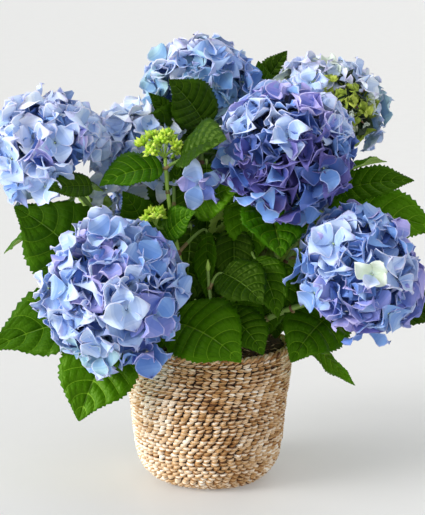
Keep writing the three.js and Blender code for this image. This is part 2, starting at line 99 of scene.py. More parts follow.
# Leaves listed one by one, by cane: node along the cane, foot, yaw, pitch, length, width, roll, bend
PLACED = {
    "bud": [
        (0.81, (-52, -34, 377), -160, 5, 79, 52, 35, 35),
        (0.94, (-31, -52, 391), -50, 35, 86, 64, -50, 30),
        (0.64, (-18, -15, 325), -35, 40, 78, 59, -70, 25),
        (0.48, (-50, -40, 297), -40, 50, 59, 41, -75, 25),
        (0.49, (-2, -6, 297), -90, -52, 80, 38, -45, 20),
    ],
    "top": [
        (0.95, (-3, 42, 417), -155, 60, 74, 62, 85, 20),
        (0.95, (-38, 46, 416), -160, 60, 54, 23, 100, 20),
    ],
    "shoot": [
        (0.97, (67, 160, 442), 10, 70, 64, 38, -75, 20),
        (0.9, (67, 140, 428), 120, 90, 59, 35, 30, 20),
    ],
    "left": [
        (0.92, (-132, -52, 359), -145, 10, 58, 35, 50, 20),
        (0.52, (-134, -6, 246), -160, 55, 130, 104, 100, 25),
    ],
    "lowleft": [
        (0.56, (-112, -6, 194), -160, 5, 153, 101, 40, 30),
        (0.86, (-100, -48, 182), -135, -35, 113, 95, 35, 35),
    ],
    "front": [
        (0.3, (-40, -52, 200), -40, 0, 107, 92, -40, 35),
        (0.25, (24, -60, 210), -40, -20, 65, 52, -35, 35),
        (0.76, (16, -62, 260), -45, -5, 71, 62, -35, 35),
    ],
    "centre": [
        (0.5, (54, -45, 274), -60, -30, 81, 50, -25, 40),
        (0.73, (69, -32, 333), -80, -15, 88, 79, 0, 35),
        (0.58, (30, -10, 303), -90, -55, 82, 49, -5, 20),
    ],
    "lowright": [
        (0.78, (151, -12, 204), -130, -10, 100, 80, 35, 35),
        (0.56, (120, -22, 165), -35, -20, 74, 44, -125, 25),
        (0.86, (171, 2, 215), -20, 5, 116, 70, -40, 30),
    ],
    "right": [
        (0.92, (144, 16, 315), -5, 5, 132, 71, -60, 25),
        (0.97, (153, 15, 343), -15, 20, 92, 42, -60, 20),
    ],
    "midleft": [
        (0.71, (-38, 5, 316), -75, 95, 66, 30, -160, 20),
        (0.56, (-69, 5, 286), -150, 70, 71, 47, 115, 20),
    ],
}
# The other leaves spring in crossed pairs from steps along each cane. What is drawn for each leaf: its turn
# off the pair's own, pitch, length, width over length, stalk and how far that lifts, roll and bend.
RULE_SEED = 29
RULE_FIRST = 0.42
RULE_STEP = 0.11
RULE_LAST = 0.97
RULE_TRIES = 30
RULE_TURN = (-30, 30)
RULE_PITCH = (-40, 45)
RULE_LENGTH = (68, 122)
RULE_SLENDER = (0.66, 0.8)
RULE_PETIOLE = (24, 44)
RULE_PETIOLE_LIFT = 20
RULE_ROLL = (-18, 18)
RULE_BEND = (30, 55)
RULE_BEHIND = -0.2
RULE_PAST_FORK = 0.04
# The thin leaves between the pairs are a little shorter and may come closer
THIN_CLEARANCE = 6.5
THIN_LENGTH = (58, 98)

UP = np.array((0.0, 0.0, 1.0))


# ---------------------------------------------------------------- the growing rule
def seeded(seed):
    """A generator of numbers from 0 to 1, the same one that grows the solids."""
    whole = 0xFFFFFFFF
    state = [seed & whole]

    def draw():
        state[0] = (state[0] + 0x6D2B79F5) & whole
        mix = ((state[0] ^ (state[0] >> 15)) * (1 | state[0])) & whole
        mix = ((mix + (((mix ^ (mix >> 7)) * (61 | mix)) & whole)) & whole) ^ mix
        return ((mix ^ (mix >> 14)) & whole) / 4294967296

    return draw


def between(random, low, high):
    """A number drawn from low to high."""
    return low + (high - low) * random()


def array(values):
    """Values as an array of plain numbers."""
    return np.array(values, dtype=float)


def jitter(random):
    """A small offset any way, up to half a unit along each axis."""
    return array((random() - 0.5, random() - 0.5, random() - 0.5))


def unit(vector):
    """The same direction at length 1."""
    return vector / np.linalg.norm(vector)


def heading(yaw, pitch):
    """The way that a turn round and a rise, in degrees, point to."""
    flat = math.cos(math.radians(pitch))
    turn = math.radians(yaw)
    return array((flat * math.cos(turn), flat * math.sin(turn), math.sin(math.radians(pitch))))


def head_axis(head):
    """The way that a head faces."""
    return heading(head[3], 90 - head[4])


def cane_line(name):
    """The four control points of a cane, from its socket to its head's underside or own tip."""
    foot, _, tip, _ = CANES[name]
    start = array((foot[0], foot[1], SOIL_TOP - SOCKET_DEPTH))
    axis = UP
    end = array(tip) if tip else None
    if name in HEADS:
        head = HEADS[name]
        axis = head_axis(head)
        end = array(head[0]) - axis * (HEAD_FOOT * head[1] * head[2] + GAP)
    span = end - start
    length = np.linalg.norm(span)
    low = start + array((0.15 * span[0], 0.15 * span[1], 0.35 * length))
    return start, low, end - axis * (0.3 * length), end


def bezier(points, t):
    """Points at shares t of the curve through four control points."""
    t = np.asarray(t, dtype=float)[..., None]
    a, b, c, d = points
    s = 1 - t
    return s**3 * a + 3 * s * s * t * b + 3 * s * t * t * c + t**3 * d


def cane_radius(name, t):
    """How thick a cane is at a share of its line."""
    return CANE_RADIUS * CANES[name][3] * (1 - (1 - CANE_TIP) * t)


class Leaf:
    """A leaf's node on its cane, its blade's foot and the way the blade lies."""

    def __init__(self, cane, node, foot, yaw, pitch, length, width, roll, bend):
        self.cane = cane
        self.node = array(node)
        self.foot = array(foot)
        self.yaw = yaw
        self.pitch = pitch
        self.length = length
        self.width = width
        self.roll = roll
        self.bend = bend

    def at(self, u):
        """The blade's point, direction, side and normal at shares of its length."""
        u = np.asarray(u, dtype=float)[..., None]
        start = math.radians(self.pitch)
        bend = math.radians(self.bend)
        angle = start - bend * u
        out = self.length * (math.sin(start) - np.sin(angle)) / bend
        rise = self.length * (np.cos(angle) - math.cos(start)) / bend
        flat = heading(self.yaw, 0)
        point = self.foot + flat * out + UP * rise
        along = flat * np.cos(angle) + UP * np.sin(angle)
        plain = UP * np.cos(angle) - flat * np.sin(angle)
        across = np.cross(along, plain)
        roll = math.radians(self.roll)
        side = across * math.cos(roll) + plain * math.sin(roll)
        normal = plain * math.cos(roll) - across * math.sin(roll)
        return point, along, side, normal

    def half_width(self, u):
        peak = math.sqrt(0.4) * 0.6**0.75
        return 0.5 * self.width * np.sqrt(u) * (1 - u) ** 0.75 / peak

    def marks(self):
        """Points over the blade and its stalk, for telling whether it comes too near something."""
        u = array((0.1, 0.3, 0.5, 0.7, 0.9))
        point, _, side, normal = self.at(u)
        half = self.half_width(u)[:, None]
        fold = math.radians(LEAF_FOLD)
        edges = [point + side * half * hand * math.cos(fold) + normal * half * math.sin(fold)
                 for hand in (-1, 1)]
        blade = np.concatenate([edges[0], (edges[0] + point) / 2, point, (edges[1] + point) / 2, edges[1]])
        stalk = array([self.node + (self.foot - self.node) * share for share in (0.5, 0.8)])
        return blade, stalk


def nearest(points, others):
    """The least distance between two clouds of points."""
    return np.linalg.norm(points[:, None] - others[None], axis=2).min()


def inside_head(points, head):
    """Which points lie in a head or too close to it."""
    offset = points - array(head[0])
    axis = head_axis(head)
    along = offset @ axis
    across = np.linalg.norm(offset - along[:, None] * axis, axis=1)
    return np.hypot(along / head[2], across) < head[1] + HEAD_CLEARANCE


def clear(leaf, taken, lines, gap):
    """Whether a leaf keeps away from the other leaves, the canes, the heads, the basket and the floor."""
    blade, stalk = leaf.marks()
    if nearest(stalk, taken) < min(STALK_CLEARANCE, gap):
        return False
    beside_basket = np.hypot(blade[:, 0] - BASKET_KEEP_OUT["x"], blade[:, 1]) < BASKET_KEEP_OUT["radius"]
    near_basket = (blade[:, 2] < BASKET_KEEP_OUT["height"]) & beside_basket
    if near_basket.any() or (blade[:, 2] <= LOWEST_LEAF).any():
        return False
    if any(inside_head(blade, head).any() for head in HEADS.values()):
        return False
    return nearest(blade, taken) >= gap and nearest(blade, lines) >= gap


def grown_leaf(cane, node, turn, random, taken, lines, lengths=RULE_LENGTH, gap=CLEARANCE):
    """A leaf by rule from a node, after a few tries, or nothing where there is no room for one."""
    for _ in range(RULE_TRIES):
        yaw = turn + between(random, *RULE_TURN)
        pitch = between(random, *RULE_PITCH)
        length = between(random, *lengths)
        width = length * between(random, *RULE_SLENDER)
        stalk = heading(yaw, pitch + RULE_PETIOLE_LIFT) * between(random, *RULE_PETIOLE)
        roll = between(random, *RULE_ROLL)
        bend = between(random, *RULE_BEND)
        leaf = Leaf(cane, node, node + stalk, yaw, pitch, length, width, roll, bend)
        behind = math.sin(math.radians(yaw)) > RULE_BEHIND and leaf.foot[1] > 0
        if behind and clear(leaf, taken, lines, gap):
            return leaf
    return None


def all_leaves():
    """The listed leaves, then pairs by rule wherever there is room behind."""
    leaves = [Leaf(cane, bezier(cane_line(cane), row[0]), *row[1:])
              for cane, rows in PLACED.items() for row in rows]
    taken = np.concatenate([np.concatenate(leaf.marks()) for leaf in leaves])
    lines = np.concatenate([bezier(cane_line(name), np.arange(25) / 24) for name in CANES])
    random = seeded(RULE_SEED)
    for cane in CANES:
        line = cane_line(cane)
        turn = 360 * random()
        t = RULE_FIRST
        while t <= RULE_LAST:
            turn += 90
            for half in (0, 180):
                leaf = grown_leaf(cane, bezier(line, t), turn + half, random, taken, lines)
                if t > CANES[cane][1] + RULE_PAST_FORK and leaf:
                    leaves.append(leaf)
                    taken = np.concatenate([taken, *leaf.marks()])
            t += RULE_STEP
    return leaves, taken, lines


def thin_leaves(taken, lines):
    """Leaves by the same rule between the pairs, where a thin blade fits and a solid one doesn't."""
    leaves = []
    random = seeded(RULE_SEED + 1)
    for cane, (_, fork, _, _) in CANES.items():
        line = cane_line(cane)
        for t in np.arange(fork + 0.05, 0.95, RULE_STEP):
            turn = 360 * random()
            for half in (0, 180):
                leaf = grown_leaf(cane, bezier(line, t), turn + half, random, taken, lines, THIN_LENGTH,
                                  THIN_CLEARANCE)
                if leaf:
                    leaves.append(leaf)
                    taken = np.concatenate([taken, *leaf.marks()])
    return leaves


# ---------------------------------------------------------------- finishes
def linear(code):
    """A colour written the painter's way, as the light that it sends back."""
    shares = [int(code[i:i + 2], 16) / 255 for i in (0, 2, 4)]
    return [c / 12.92 if c <= 0.04045 else ((c + 0.055) / 1.055) ** 2.4 for c in shares] + [1.0]


def mixed(code, other, share):
    """A colour part of the way from one to another."""
    pair = [(int(code[i:i + 2], 16), int(other[i:i + 2], 16)) for i in (0, 2, 4)]
    return "".join(f"{round(a + (b - a) * share):02X}" for a, b in pair)


def shading(name):
    """A new material: its tree and its shader."""
    made = bpy.data.materials.new(name)
    made.use_nodes = True
    return made, made.node_tree, made.node_tree.nodes["Principled BSDF"]


def settle(node, values):
    """Sets a node's plain values."""
    for socket, value in values.items():
        node.inputs[socket].default_value = value
    return node


def finish(name, code, rough=(0.5, 0.65), grain=300, sheen=0.0, glow=0.0, shine=0.5, tint="FFFFFF",
           pebbles=0):
    """A plain colour, unevenly rough, with the sheen, softness and fine relief of a living surface."""
    made, tree, shader = shading(name)
    link = tree.links.new
    settle(shader, {
        "Base Color": linear(code),
        "Sheen Weight": sheen,
        "Sheen Roughness": 0.45,
        "Specular IOR Level": shine,
        "Specular Tint": linear(tint),
        "Subsurface Weight": glow,
        "Subsurface Radius": (0.004, 0.004, 0.004),
        "Subsurface Scale": 0.6,
    })
    place = tree.nodes.new("ShaderNodeTexCoord")
    noise = settle(tree.nodes.new("ShaderNodeTexNoise"), {"Scale": grain, "Detail": 3})
    spread = settle(tree.nodes.new("ShaderNodeMapRange"),
                    {"From Min": 0.3, "From Max": 0.7, "To Min": rough[0], "To Max": rough[1]})
    link(place.outputs["Object"], noise.inputs["Vector"])
    link(noise.outputs["Fac"], spread.inputs["Value"])
    link(spread.outputs["Result"], shader.inputs["Roughness"])
    if pebbles:
        cells = tree.nodes.new("ShaderNodeTexVoronoi")
        cells.feature = "SMOOTH_F1"
        settle(cells, {"Scale": pebbles, "Smoothness": 0.4})
        bump = settle(tree.nodes.new("ShaderNodeBump"), {"Strength": 0.55, "Distance": 0.0007})
        bump.invert = True
        link(place.outputs["Object"], cells.inputs["Vector"])
        link(cells.outputs["Distance"], bump.inputs["Height"])
        link(bump.outputs["Normal"], shader.inputs["Normal"])
    return made


def grained(name, stretch, noise_values, stops, bump_values, rough):
    """A colour that breaks up into grain between its stops, with the grain's own relief."""
    made, tree, shader = shading(name)
    link = tree.links.new
    settle(shader, {"Roughness": rough})
    place = tree.nodes.new("ShaderNodeTexCoord")
    mapping = settle(tree.nodes.new("ShaderNodeMapping"), {"Scale": stretch})
    noise = settle(tree.nodes.new("ShaderNodeTexNoise"), noise_values)
    ramp = tree.nodes.new("ShaderNodeValToRGB")
    elements = ramp.color_ramp.elements
    for element, (position, code) in zip((elements[0], elements[1]), (stops[0], stops[-1])):
        element.position = position
        element.color = linear(code)
    for position, code in stops[1:-1]:
        elements.new(position).color = linear(code)
    bump = settle(tree.nodes.new("ShaderNodeBump"), bump_values)
    link(place.outputs["Object"], mapping.inputs["Vector"])
    link(mapping.outputs["Vector"], noise.inputs["Vector"])
    link(noise.outputs["Fac"], ramp.inputs["Fac"])
    link(ramp.outputs["Color"], shader.inputs["Base Color"])
    link(noise.outputs["Fac"], bump.inputs["Height"])
    link(bump.outputs["Normal"], shader.inputs["Normal"])
    return made


# Sepal tints: how they look in full light
TINTS = {
    "frost": "E8F2FF",
    "haze": "CEE0FF",
    "mist": "DCE4FC",
    "pale_sky": "C2D6FA",
    "sky": "A4C0EE",
    "azure": "7CA4E2",
    "cornflower": "6286D0",
    "slate": "4A68B2",
    "periwinkle": "8C96DC",
    "violet": "5E5CA8",
    "lilac": "B6B2EE",
    "deep_blue": "3E5698",
    "deep_violet": "443F84",
    "aqua": "A4C8D6",
    "steel": "6E98C4",
    "ice": "DCE8DC",
    "cream": "DCE2C6",
    "young": "CCDC5C",
    "lime": "A4BA44",
    # The two hollow tints, near black, are painted shade for the gaps deep between florets
    "hollow": "101C40",
    "hollow_green": "183010",
}
# Each head: tints of its lit side, tints of its other side, and the way from one to the other. The two lists
# are painted light and shade: paler tints where the lamps fall, deeper ones on the far side, and pale ones
# all round the midleft head, painted light against the shade that its neighbours cast on it.
DRESS = {
    "left": ("frost haze pale_sky haze mist", "haze mist pale_sky lilac sky", (0.6, -0.3, -0.6)),
    "midleft": ("frost haze frost frost", "haze frost frost mist pale_sky", (0.2, 0, -1)),
    "top": ("aqua pale_sky sky mist aqua", "steel aqua azure steel sky", (0.3, 0, -1)),
    "centre": ("haze pale_sky sky lilac azure", "deep_violet violet deep_blue slate cornflower azure",
               (0.35, -0.3, -0.85)),
    "topright": ("mist ice haze frost", "aqua ice haze sky aqua", (0.5, 0, -0.9)),
    "lowleft": ("pale_sky haze lilac pale_sky sky", "azure sky periwinkle sky azure", (0.9, 0.2, -0.2)),
    "lowright": ("pale_sky sky azure azure lilac", "azure cornflower periwinkle sky violet lilac",
                 (0.3, 0, -0.9)),
    "backleft": ("sky cornflower pale_sky azure", "periwinkle cornflower sky", (0, 0, -1)),
    "backright": ("periwinkle lilac sky azure", "violet periwinkle cornflower", (0, 0, -1)),
}
ZONES = ("throat", "heart", "flush", "blade", "tip", "rim")
GREEN_TINTS = ("ice", "cream", "young", "lime")
DARK_TINTS = ("slate", "violet", "deep_blue", "deep_violet", "cornflower", "hollow", "hollow_green")
# The heart's blue is partly the sepals' own deeper colour near the floret's middle and partly painted shade
# there
HEART_BLUE_AND_SHADE, HEART_GREEN, THROAT_PALE, TIP_LILAC, RIM_HIGHLIGHT_WHITE = "2E62BC", "A9C860", "C6E0E4", "B4A4E4", "F8F8FF"
# How much of the heart's deeper blue, partly painted shade, a tint takes, and how much of the rim's painted
# highlight, where it isn't the usual share
HEART_TONE_AND_SHADE = {"frost": 0.18, "haze": 0.24, "mist": 0.2, "pale_sky": 0.26, "aqua": 0.28, "ice": 0.14,
               "cream": 0.14, "young": 0.4, "lime": 0.4}
RIM_HIGHLIGHT_SHOW = {"frost": 0.4, "haze": 0.4, "mist": 0.4, "pale_sky": 0.36, "lilac": 0.3, "sky": 0.3, "aqua": 0.3}
HEART_TONE_AND_SHADE_USUAL, RIM_HIGHLIGHT_USUAL, TIP_USUAL = 0.32, 0.24, 0.3
RIM_HIGHLIGHT_DARK = TIP_DARK = 0.16

BLOOM_FINISH = []
for tint, code in TINTS.items():
    green, dark, hollow = tint in GREEN_TINTS, tint in DARK_TINTS, tint.startswith("hollow")
    depth = HEART_TONE_AND_SHADE.get(tint, HEART_TONE_AND_SHADE_USUAL)
    # Heart and flush go deeper towards the floret's middle: the sepal's own bluer base and painted shade;
    # green tints take their own green there
    heart, flush = (mixed(code, HEART_GREEN if green else HEART_BLUE_AND_SHADE, depth * share) for share in (1, 0.5))
    throat = mixed(heart, THROAT_PALE, 0.3)
    if hollow:
        heart = flush = throat = code
    tip = code if green or hollow else mixed(code, TIP_LILAC, TIP_DARK if dark else TIP_USUAL)
    # The rim, the tip's colour drawn towards white, is a painted highlight along the sepal's edge
    rim = mixed(tip, RIM_HIGHLIGHT_WHITE, RIM_HIGHLIGHT_DARK if dark else RIM_HIGHLIGHT_SHOW.get(tint, RIM_HIGHLIGHT_USUAL))
    for zone, tone in zip(ZONES, (throat, heart, flush, code, tip, rim)):
        BLOOM_FINISH.append(finish(f"sepal_{tint}_{zone}", tone, (0.5, 0.65), 260, sheen=0.05, glow=0.06,
                                   shine=0.35))
TINT_INDEX = {tint: len(ZONES) * i for i, tint in enumerate(TINTS)}
BEAD_GREEN, BEAD_BLUE, PEDICEL_GREEN, PEDICEL_RED = range(len(BLOOM_FINISH), len(BLOOM_FINISH) + 4)
for part, code, rough in (("bead_green", "BFD9A6", (0.4, 0.5)), ("bead_blue", "8FB4E6", (0.4, 0.5)),
                          ("pedicel_green", "A9C08A", (0.5, 0.6)), ("pedicel_red", "A8705E", (0.5, 0.6))):
    BLOOM_FINISH.append(finish(part, code, rough))

# A leaf's blade: its colour, and how much its veins stand out in it
LEAF_SHADES = {"2A5000": 0.6, "335E02": 0.7, "3D6C02": 0.8, "487C06": 0.85, "224002": 0.5, "2C5C00": 0.85}
NET_TONE, VEIN_TONE = ("8DB040", 0.2), ("B8E248", 0.6)
LEAF_FINISH = []
for i, (code, show) in enumerate(LEAF_SHADES.items()):
    net, vein = (mixed(code, tone, share * show) for tone, share in (NET_TONE, VEIN_TONE))
    for part, tone in (("panel", code), ("net", net), ("vein", vein)):
        LEAF_FINISH.append(finish(f"leaf_{i}_{part}", tone, (0.3, 0.52), 220, shine=0.38, tint="C0E868",
                                  pebbles=360))
# The last finish is also the underside of every leaf
STALK, STALK_RED, NODE_BROWN, STALK_PALE = range(len(LEAF_FINISH), len(LEAF_FINISH) + 4)
for part, code, rough in (("stalk_green", "7FA04A", (0.4, 0.55)), ("stalk_flushed", "8C7A4E", (0.45, 0.6)),
                          ("node_brown", "6E4A34", (0.5, 0.7)), ("stalk_pale", "9CC04C", (0.4, 0.55))):
    LEAF_FINISH.append(finish(part, code, rough, 400))

BUD_SHADES = ["BCDE34", "A6CE2C", "D6EC62", "98C42A", "CFE84E"]
BUD_FINISH = [finish(f"bud_{i}", code, (0.4, 0.55), 500, glow=0.15) for i, code in enumerate(BUD_SHADES)]
BUD_STALK, BUD_STALK_DARK = len(BUD_SHADES), len(BUD_SHADES) + 1
BUD_FINISH.append(finish("bud_stalk", "94B548", (0.45, 0.6), 500))
BUD_FINISH.append(finish("bud_stalk_dark", "6F9438", (0.45, 0.6), 500))

STRAW = ["FFF8EA", "F3E2CA", "DEC09A", "C69C68", "9A6A34", "5E360C"]
BASKET_FINISH = [finish(f"seagrass_{i}", code, (0.6, 0.85), 500, sheen=0.1) for i, code in enumerate(STRAW)]
# Near-black brown for the shell behind the stitches: painted shade in the gaps
BASKET_FINISH.append(finish("seagrass_gap_shade", "221004", (0.8, 0.95), 300))
BACKING_SHADE = len(STRAW)


# ---------------------------------------------------------------- meshes
class Heap:
    """Gathers shapes of four-sided faces, in millimetres, into one mesh."""

    def __init__(self):
        self.points = []
        self.faces = []
        self.zones = []
        self.count = 0

    def add(self, points, faces, zones):
        points = np.asarray(points, dtype=float).reshape(-1, 3)
        self.points.append(points)
        self.faces.append(np.asarray(faces) + self.count)
        self.zones.append(np.broadcast_to(np.asarray(zones), len(faces)))
        self.count += len(points)

    def piece(self, name, finishes):
        points = np.concatenate(self.points) * MM
        faces = np.concatenate(self.faces).astype(np.int32)
        mesh = bpy.data.meshes.new(name)
        mesh.vertices.add(len(points))
        mesh.vertices.foreach_set("co", points.ravel())
        mesh.loops.add(faces.size)
        mesh.loops.foreach_set("vertex_index", faces.ravel())
        mesh.polygons.add(len(faces))
        mesh.polygons.foreach_set("loop_start", np.arange(0, faces.size, 4, dtype=np.int32))
        mesh.polygons.foreach_set("material_index", np.concatenate(self.zones).astype(np.int32))
        mesh.polygons.foreach_set("use_smooth", np.ones(len(faces), dtype=bool))
        mesh.update(calc_edges=True)
        mesh.validate()
        for made in finishes:
            mesh.materials.append(made)
        made = bpy.data.objects.new(name, mesh)
        bpy.context.scene.collection.objects.link(made)
        return made


def only(*objects):
    """Selects these objects and nothing else, the last one active."""
    bpy.ops.object.select_all(action="DESELECT")
    for chosen in objects:
        chosen.select_set(True)
        bpy.context.view_layer.objects.active = chosen


def harvest(model):
    """A finished model's points, four-sided faces and zones, and the model is put away."""
    mesh = model.data
    points = np.zeros(3 * len(mesh.vertices))
    mesh.vertices.foreach_get("co", points)
    faces = array([list(face.vertices) for face in mesh.polygons]).astype(int)
    zones = np.zeros(len(mesh.polygons), dtype=np.int32)
    mesh.polygons.foreach_get("material_index", zones)
    bpy.data.objects.remove(model)
    return points.reshape(-1, 3), faces, zones


def apply_all(model):
    """Applies a model's modifiers."""
    only(model)
    for modifier in list(model.modifiers):
        bpy.ops.object.modifier_apply(modifier=modifier.name)


def frames(line):
    """Directions across a line of points, carried along it without twisting."""
    tangents = np.gradient(line, axis=0)
    tangents /= np.linalg.norm(tangents, axis=1)[:, None]
    start = UP if abs(tangents[0][2]) < 0.9 else array((1, 0, 0))
    across = np.cross(tangents[0], start)
    first = []
    for tangent in tangents:
        across = unit(across - tangent * (across @ tangent))
        first.append(across)
    first = array(first)
    return first, np.cross(tangents, first)


def bands(rings, sides):
    """The four-sided faces between rings of points, one ring after another."""
    faces = []
    for i in range(rings - 1):
        for j in range(sides):
            a, b = i * sides + j, i * sides + (j + 1) % sides
            faces.append((a, b, b + sides, a + sides))
    return faces


def tube(line, radii, sides):
    """A closed round tube of four-sided faces along a line of points."""
    line = np.asarray(line, dtype=float)
    first, second = frames(line)
    turn = 2 * math.pi * np.arange(sides) / sides
    radii = np.broadcast_to(np.asarray(radii, dtype=float), len(line))
    ring = first[:, None] * np.cos(turn)[None, :, None] + second[:, None] * np.sin(turn)[None, :, None]
    points = (line[:, None] + ring * radii[:, None, None]).reshape(-1, 3)
    faces = bands(len(line), sides)
    last = (len(line) - 1) * sides
    for j in range(1, sides - 2, 2):
        faces.append((0, j + 2, j + 1, j))
        faces.append((last, last + j, last + j + 1, last + j + 2))
    return points, np.array(faces)


def turned_to(axis, spin):
    """The turn that lays a shape's own z along an axis, after a spin about it."""
    axis = unit(axis)
    start = UP if abs(axis[2]) < 0.9 else array((1, 0, 0))
    east = unit(np.cross(start, axis))
    north = np.cross(axis, east)
    c, s = math.cos(spin), math.sin(spin)
    return np.stack([east * c + north * s, north * c - east * s, axis], axis=1)


def laid(rows, columns):
    """A flat grid from -1 to 1 whose rows run across x."""
    bpy.ops.object.select_all(action="DESELECT")
    bpy.ops.mesh.primitive_grid_add(x_subdivisions=rows, y_subdivisions=columns, size=2)
    return bpy.context.object


def ball(levels):
    """A round ball of four-sided faces, of radius 1."""
    bpy.ops.object.select_all(action="DESELECT")
    bpy.ops.mesh.primitive_cube_add(size=2)
    model = bpy.context.object
    bpy.ops.object.mode_set(mode="EDIT")
    bpy.ops.mesh.select_all(action="SELECT")
    for _ in range(levels):
        bpy.ops.mesh.subdivide(number_cuts=1)
    bpy.ops.transform.tosphere(value=1)
    bpy.ops.object.mode_set(mode="OBJECT")
    points = array([vertex.co[:] for vertex in model.data.vertices])
    lengths = np.linalg.norm(points, axis=1)[:, None]
    model.data.vertices.foreach_set("co", (points / lengths).ravel())
    return model


# ---------------------------------------------------------------- leaves
# Where the side veins leave the midrib, and how far the rows of faces rise between two of them
CELLS = array((0, 0.07, 0.17, 0.29, 0.42, 0.56, 0.70, 0.84, 1))
CELL_ROWS = 6
ROW_RISE = array((0, 0, 0.75, 1, 1, 0.7, 0))
# The columns from the midrib to the margin and how far they rise, and which of them are small cross veins
COLUMNS = array((0, 0.018, 0.13, 0.235, 0.253, 0.35, 0.455, 0.473, 0.56, 0.655, 0.673, 0.76, 0.84, 0.858, 1))
COLUMN_RISE = array((-0.3, 0.05, 1, 0.4, 0.4, 1, 0.4, 0.4, 1, 0.4, 0.4, 1, 0.4, 0.4, 0.25))
LADDERS = (3, 6, 9, 12)
LADDER_SHIFT = 0.1
VEIN_WIDTH = 0.85
VEIN_SWEEP = 0.22
QUILT_LEAST, QUILT_BY_WIDTH = 0.8, 3.4
TOOTH_OUT, TOOTH_IN = 2.0, -0.9
TOOTHED_FROM = 0.06
TIP_FROM = 0.6
MARGIN_WAVE = 0.035
MARGIN_OPENS = 0.35
LEAF_SHEET = 0.45
# A leaf's faces are panels, unless they are one of these
NET, VEIN = 1, 2
# The stalk and the rib that it runs into: rings of each, the rib's run, and their radii
STALK_RINGS, RIB_RINGS = 9, 8
RIB_RUN = (0.06, 0.9)
STALK_TAPER = (1.25, 0.78)
STALK_FOOT = 1.6
STALK_SIDES = 6
FLUSHED_SHARE = 0.7
# A green stem or a cane: its rings, and how it swells at a node
STEM_RINGS = 22
NODE_STEPS = (-0.014, -0.006, 0, 0.006, 0.014)
NODE_LENGTH, NODE_SWELL, NODE_BAND = 0.008, 0.32, 0.009


def leaf_model():
    """One flat leaf: its rows follow the side veins and its columns the ladder of small ones."""
    rows = CELL_ROWS * (len(CELLS) - 1)
    half = len(COLUMNS) - 1
    model = laid(rows, 2 * half)
    for face in model.data.polygons:
        i = int((face.center.x + 1) / 2 * rows)
        k = int((face.center.y + 1) / 2 * 2 * half) - half
        n = k if k >= 0 else -k - 1
        if n == 0 or (i % CELL_ROWS == 0 and i > 0 and n < half - 1):
            face.material_index = VEIN
        elif n in LADDERS:
            face.material_index = NET
    points, faces, zones = harvest(model)
    i = np.rint((points[:, 0] + 1) / 2 * rows).astype(int)
    k = np.rint((points[:, 1] + 1) / 2 * 2 * half).astype(int) - half
    return i, k, faces[:, ::-1], zones


LEAF_ROW, LEAF_COLUMN, LEAF_FACES, LEAF_ZONES = leaf_model()


def blade(leaf, random):
    """A leaf's upper face: quilted between its veins, toothed, waved along its margin and arched."""
    i, k = LEAF_ROW, LEAF_COLUMN
    n = np.abs(k)
    hand = np.sign(k)
    side_of = (k > 0).astype(int)
    cell = np.minimum(i // CELL_ROWS, len(CELLS) - 2)
    r = i - CELL_ROWS * cell
    low, high = CELLS[cell], CELLS[cell + 1]
    shift = array([[random() - 0.5 for _ in range(2)] for _ in range(len(CELLS) - 1)]) * LADDER_SHIFT
    v = COLUMNS[n]
    v = v + shift[cell, side_of] * 4 * v * (1 - v) * (n > 1)
    vein = VEIN_WIDTH / leaf.length * (1 - 0.5 * v)
    w = np.where(r == 0, low, low + vein + (high - low - vein) * (r - 1) / (CELL_ROWS - 1))
    u = np.clip(w + VEIN_SWEEP * 4 * w * (1 - w) * v**1.3, 0.0006, 0.9996)
    drawn = np.clip((u - TIP_FROM) / (1 - TIP_FROM), 0, 1)
    half = leaf.half_width(u) * (1 - 0.5 * drawn * drawn * (3 - 2 * drawn))
    tooth = np.where(i % 2 == 0, TOOTH_OUT, TOOTH_IN) * (0.35 + 0.65 * leaf.length / 100)
    tooth *= np.sqrt(np.clip(np.sin(math.pi * u), 0, 1))
    tooth = np.where((n == len(COLUMNS) - 1) & (u > TOOTHED_FROM), tooth, 0)
    y = v * half + tooth
    rise = (QUILT_LEAST + QUILT_BY_WIDTH * leaf.width / 100) * ROW_RISE[r] * COLUMN_RISE[n]
    rise *= np.clip(half / (0.3 * leaf.width), 0.15, 1)
    phase = array([6.28 * random(), 6.28 * random()])[side_of]
    waves = 1.5 + random()
    wave = MARGIN_WAVE * leaf.width * v**2 * np.sin(2 * math.pi * waves * u + phase)
    wave *= np.clip(half / (0.25 * leaf.width), 0, 1)
    fold = math.radians(LEAF_FOLD)
    point, _, side, normal = leaf.at(u)
    lift = y * math.sin(fold) * (1 - MARGIN_OPENS * v**2) + rise + wave
    return point + side * (hand * y * math.cos(fold))[:, None] + normal * lift[:, None]


def stalk_line(leaf):
    """A leaf's stalk from its node, and on as the rib under the blade."""
    foot, along, _, normal = leaf.at(0.0)
    reach = np.linalg.norm(leaf.foot - leaf.node)
    low = leaf.node + (leaf.foot - leaf.node) * 0.35 + UP * 0.08 * reach
    high = leaf.foot - along * 0.35 * reach
    stalk = bezier((leaf.node, low, high, foot - normal * 0.9), np.linspace(0, 1, STALK_RINGS))
    u = np.linspace(*RIB_RUN, RIB_RINGS)
    point, _, _, normals = leaf.at(u)
    rib = point - normals * (1.5 - 1.05 * u)[:, None]
    line = np.concatenate([stalk, rib])
    radii = np.concatenate([np.linspace(*STALK_TAPER, STALK_RINGS) * PETIOLE_RADIUS, 1.35 - 1.15 * u])
    radii[0] = STALK_FOOT * PETIOLE_RADIUS
    return line, radii


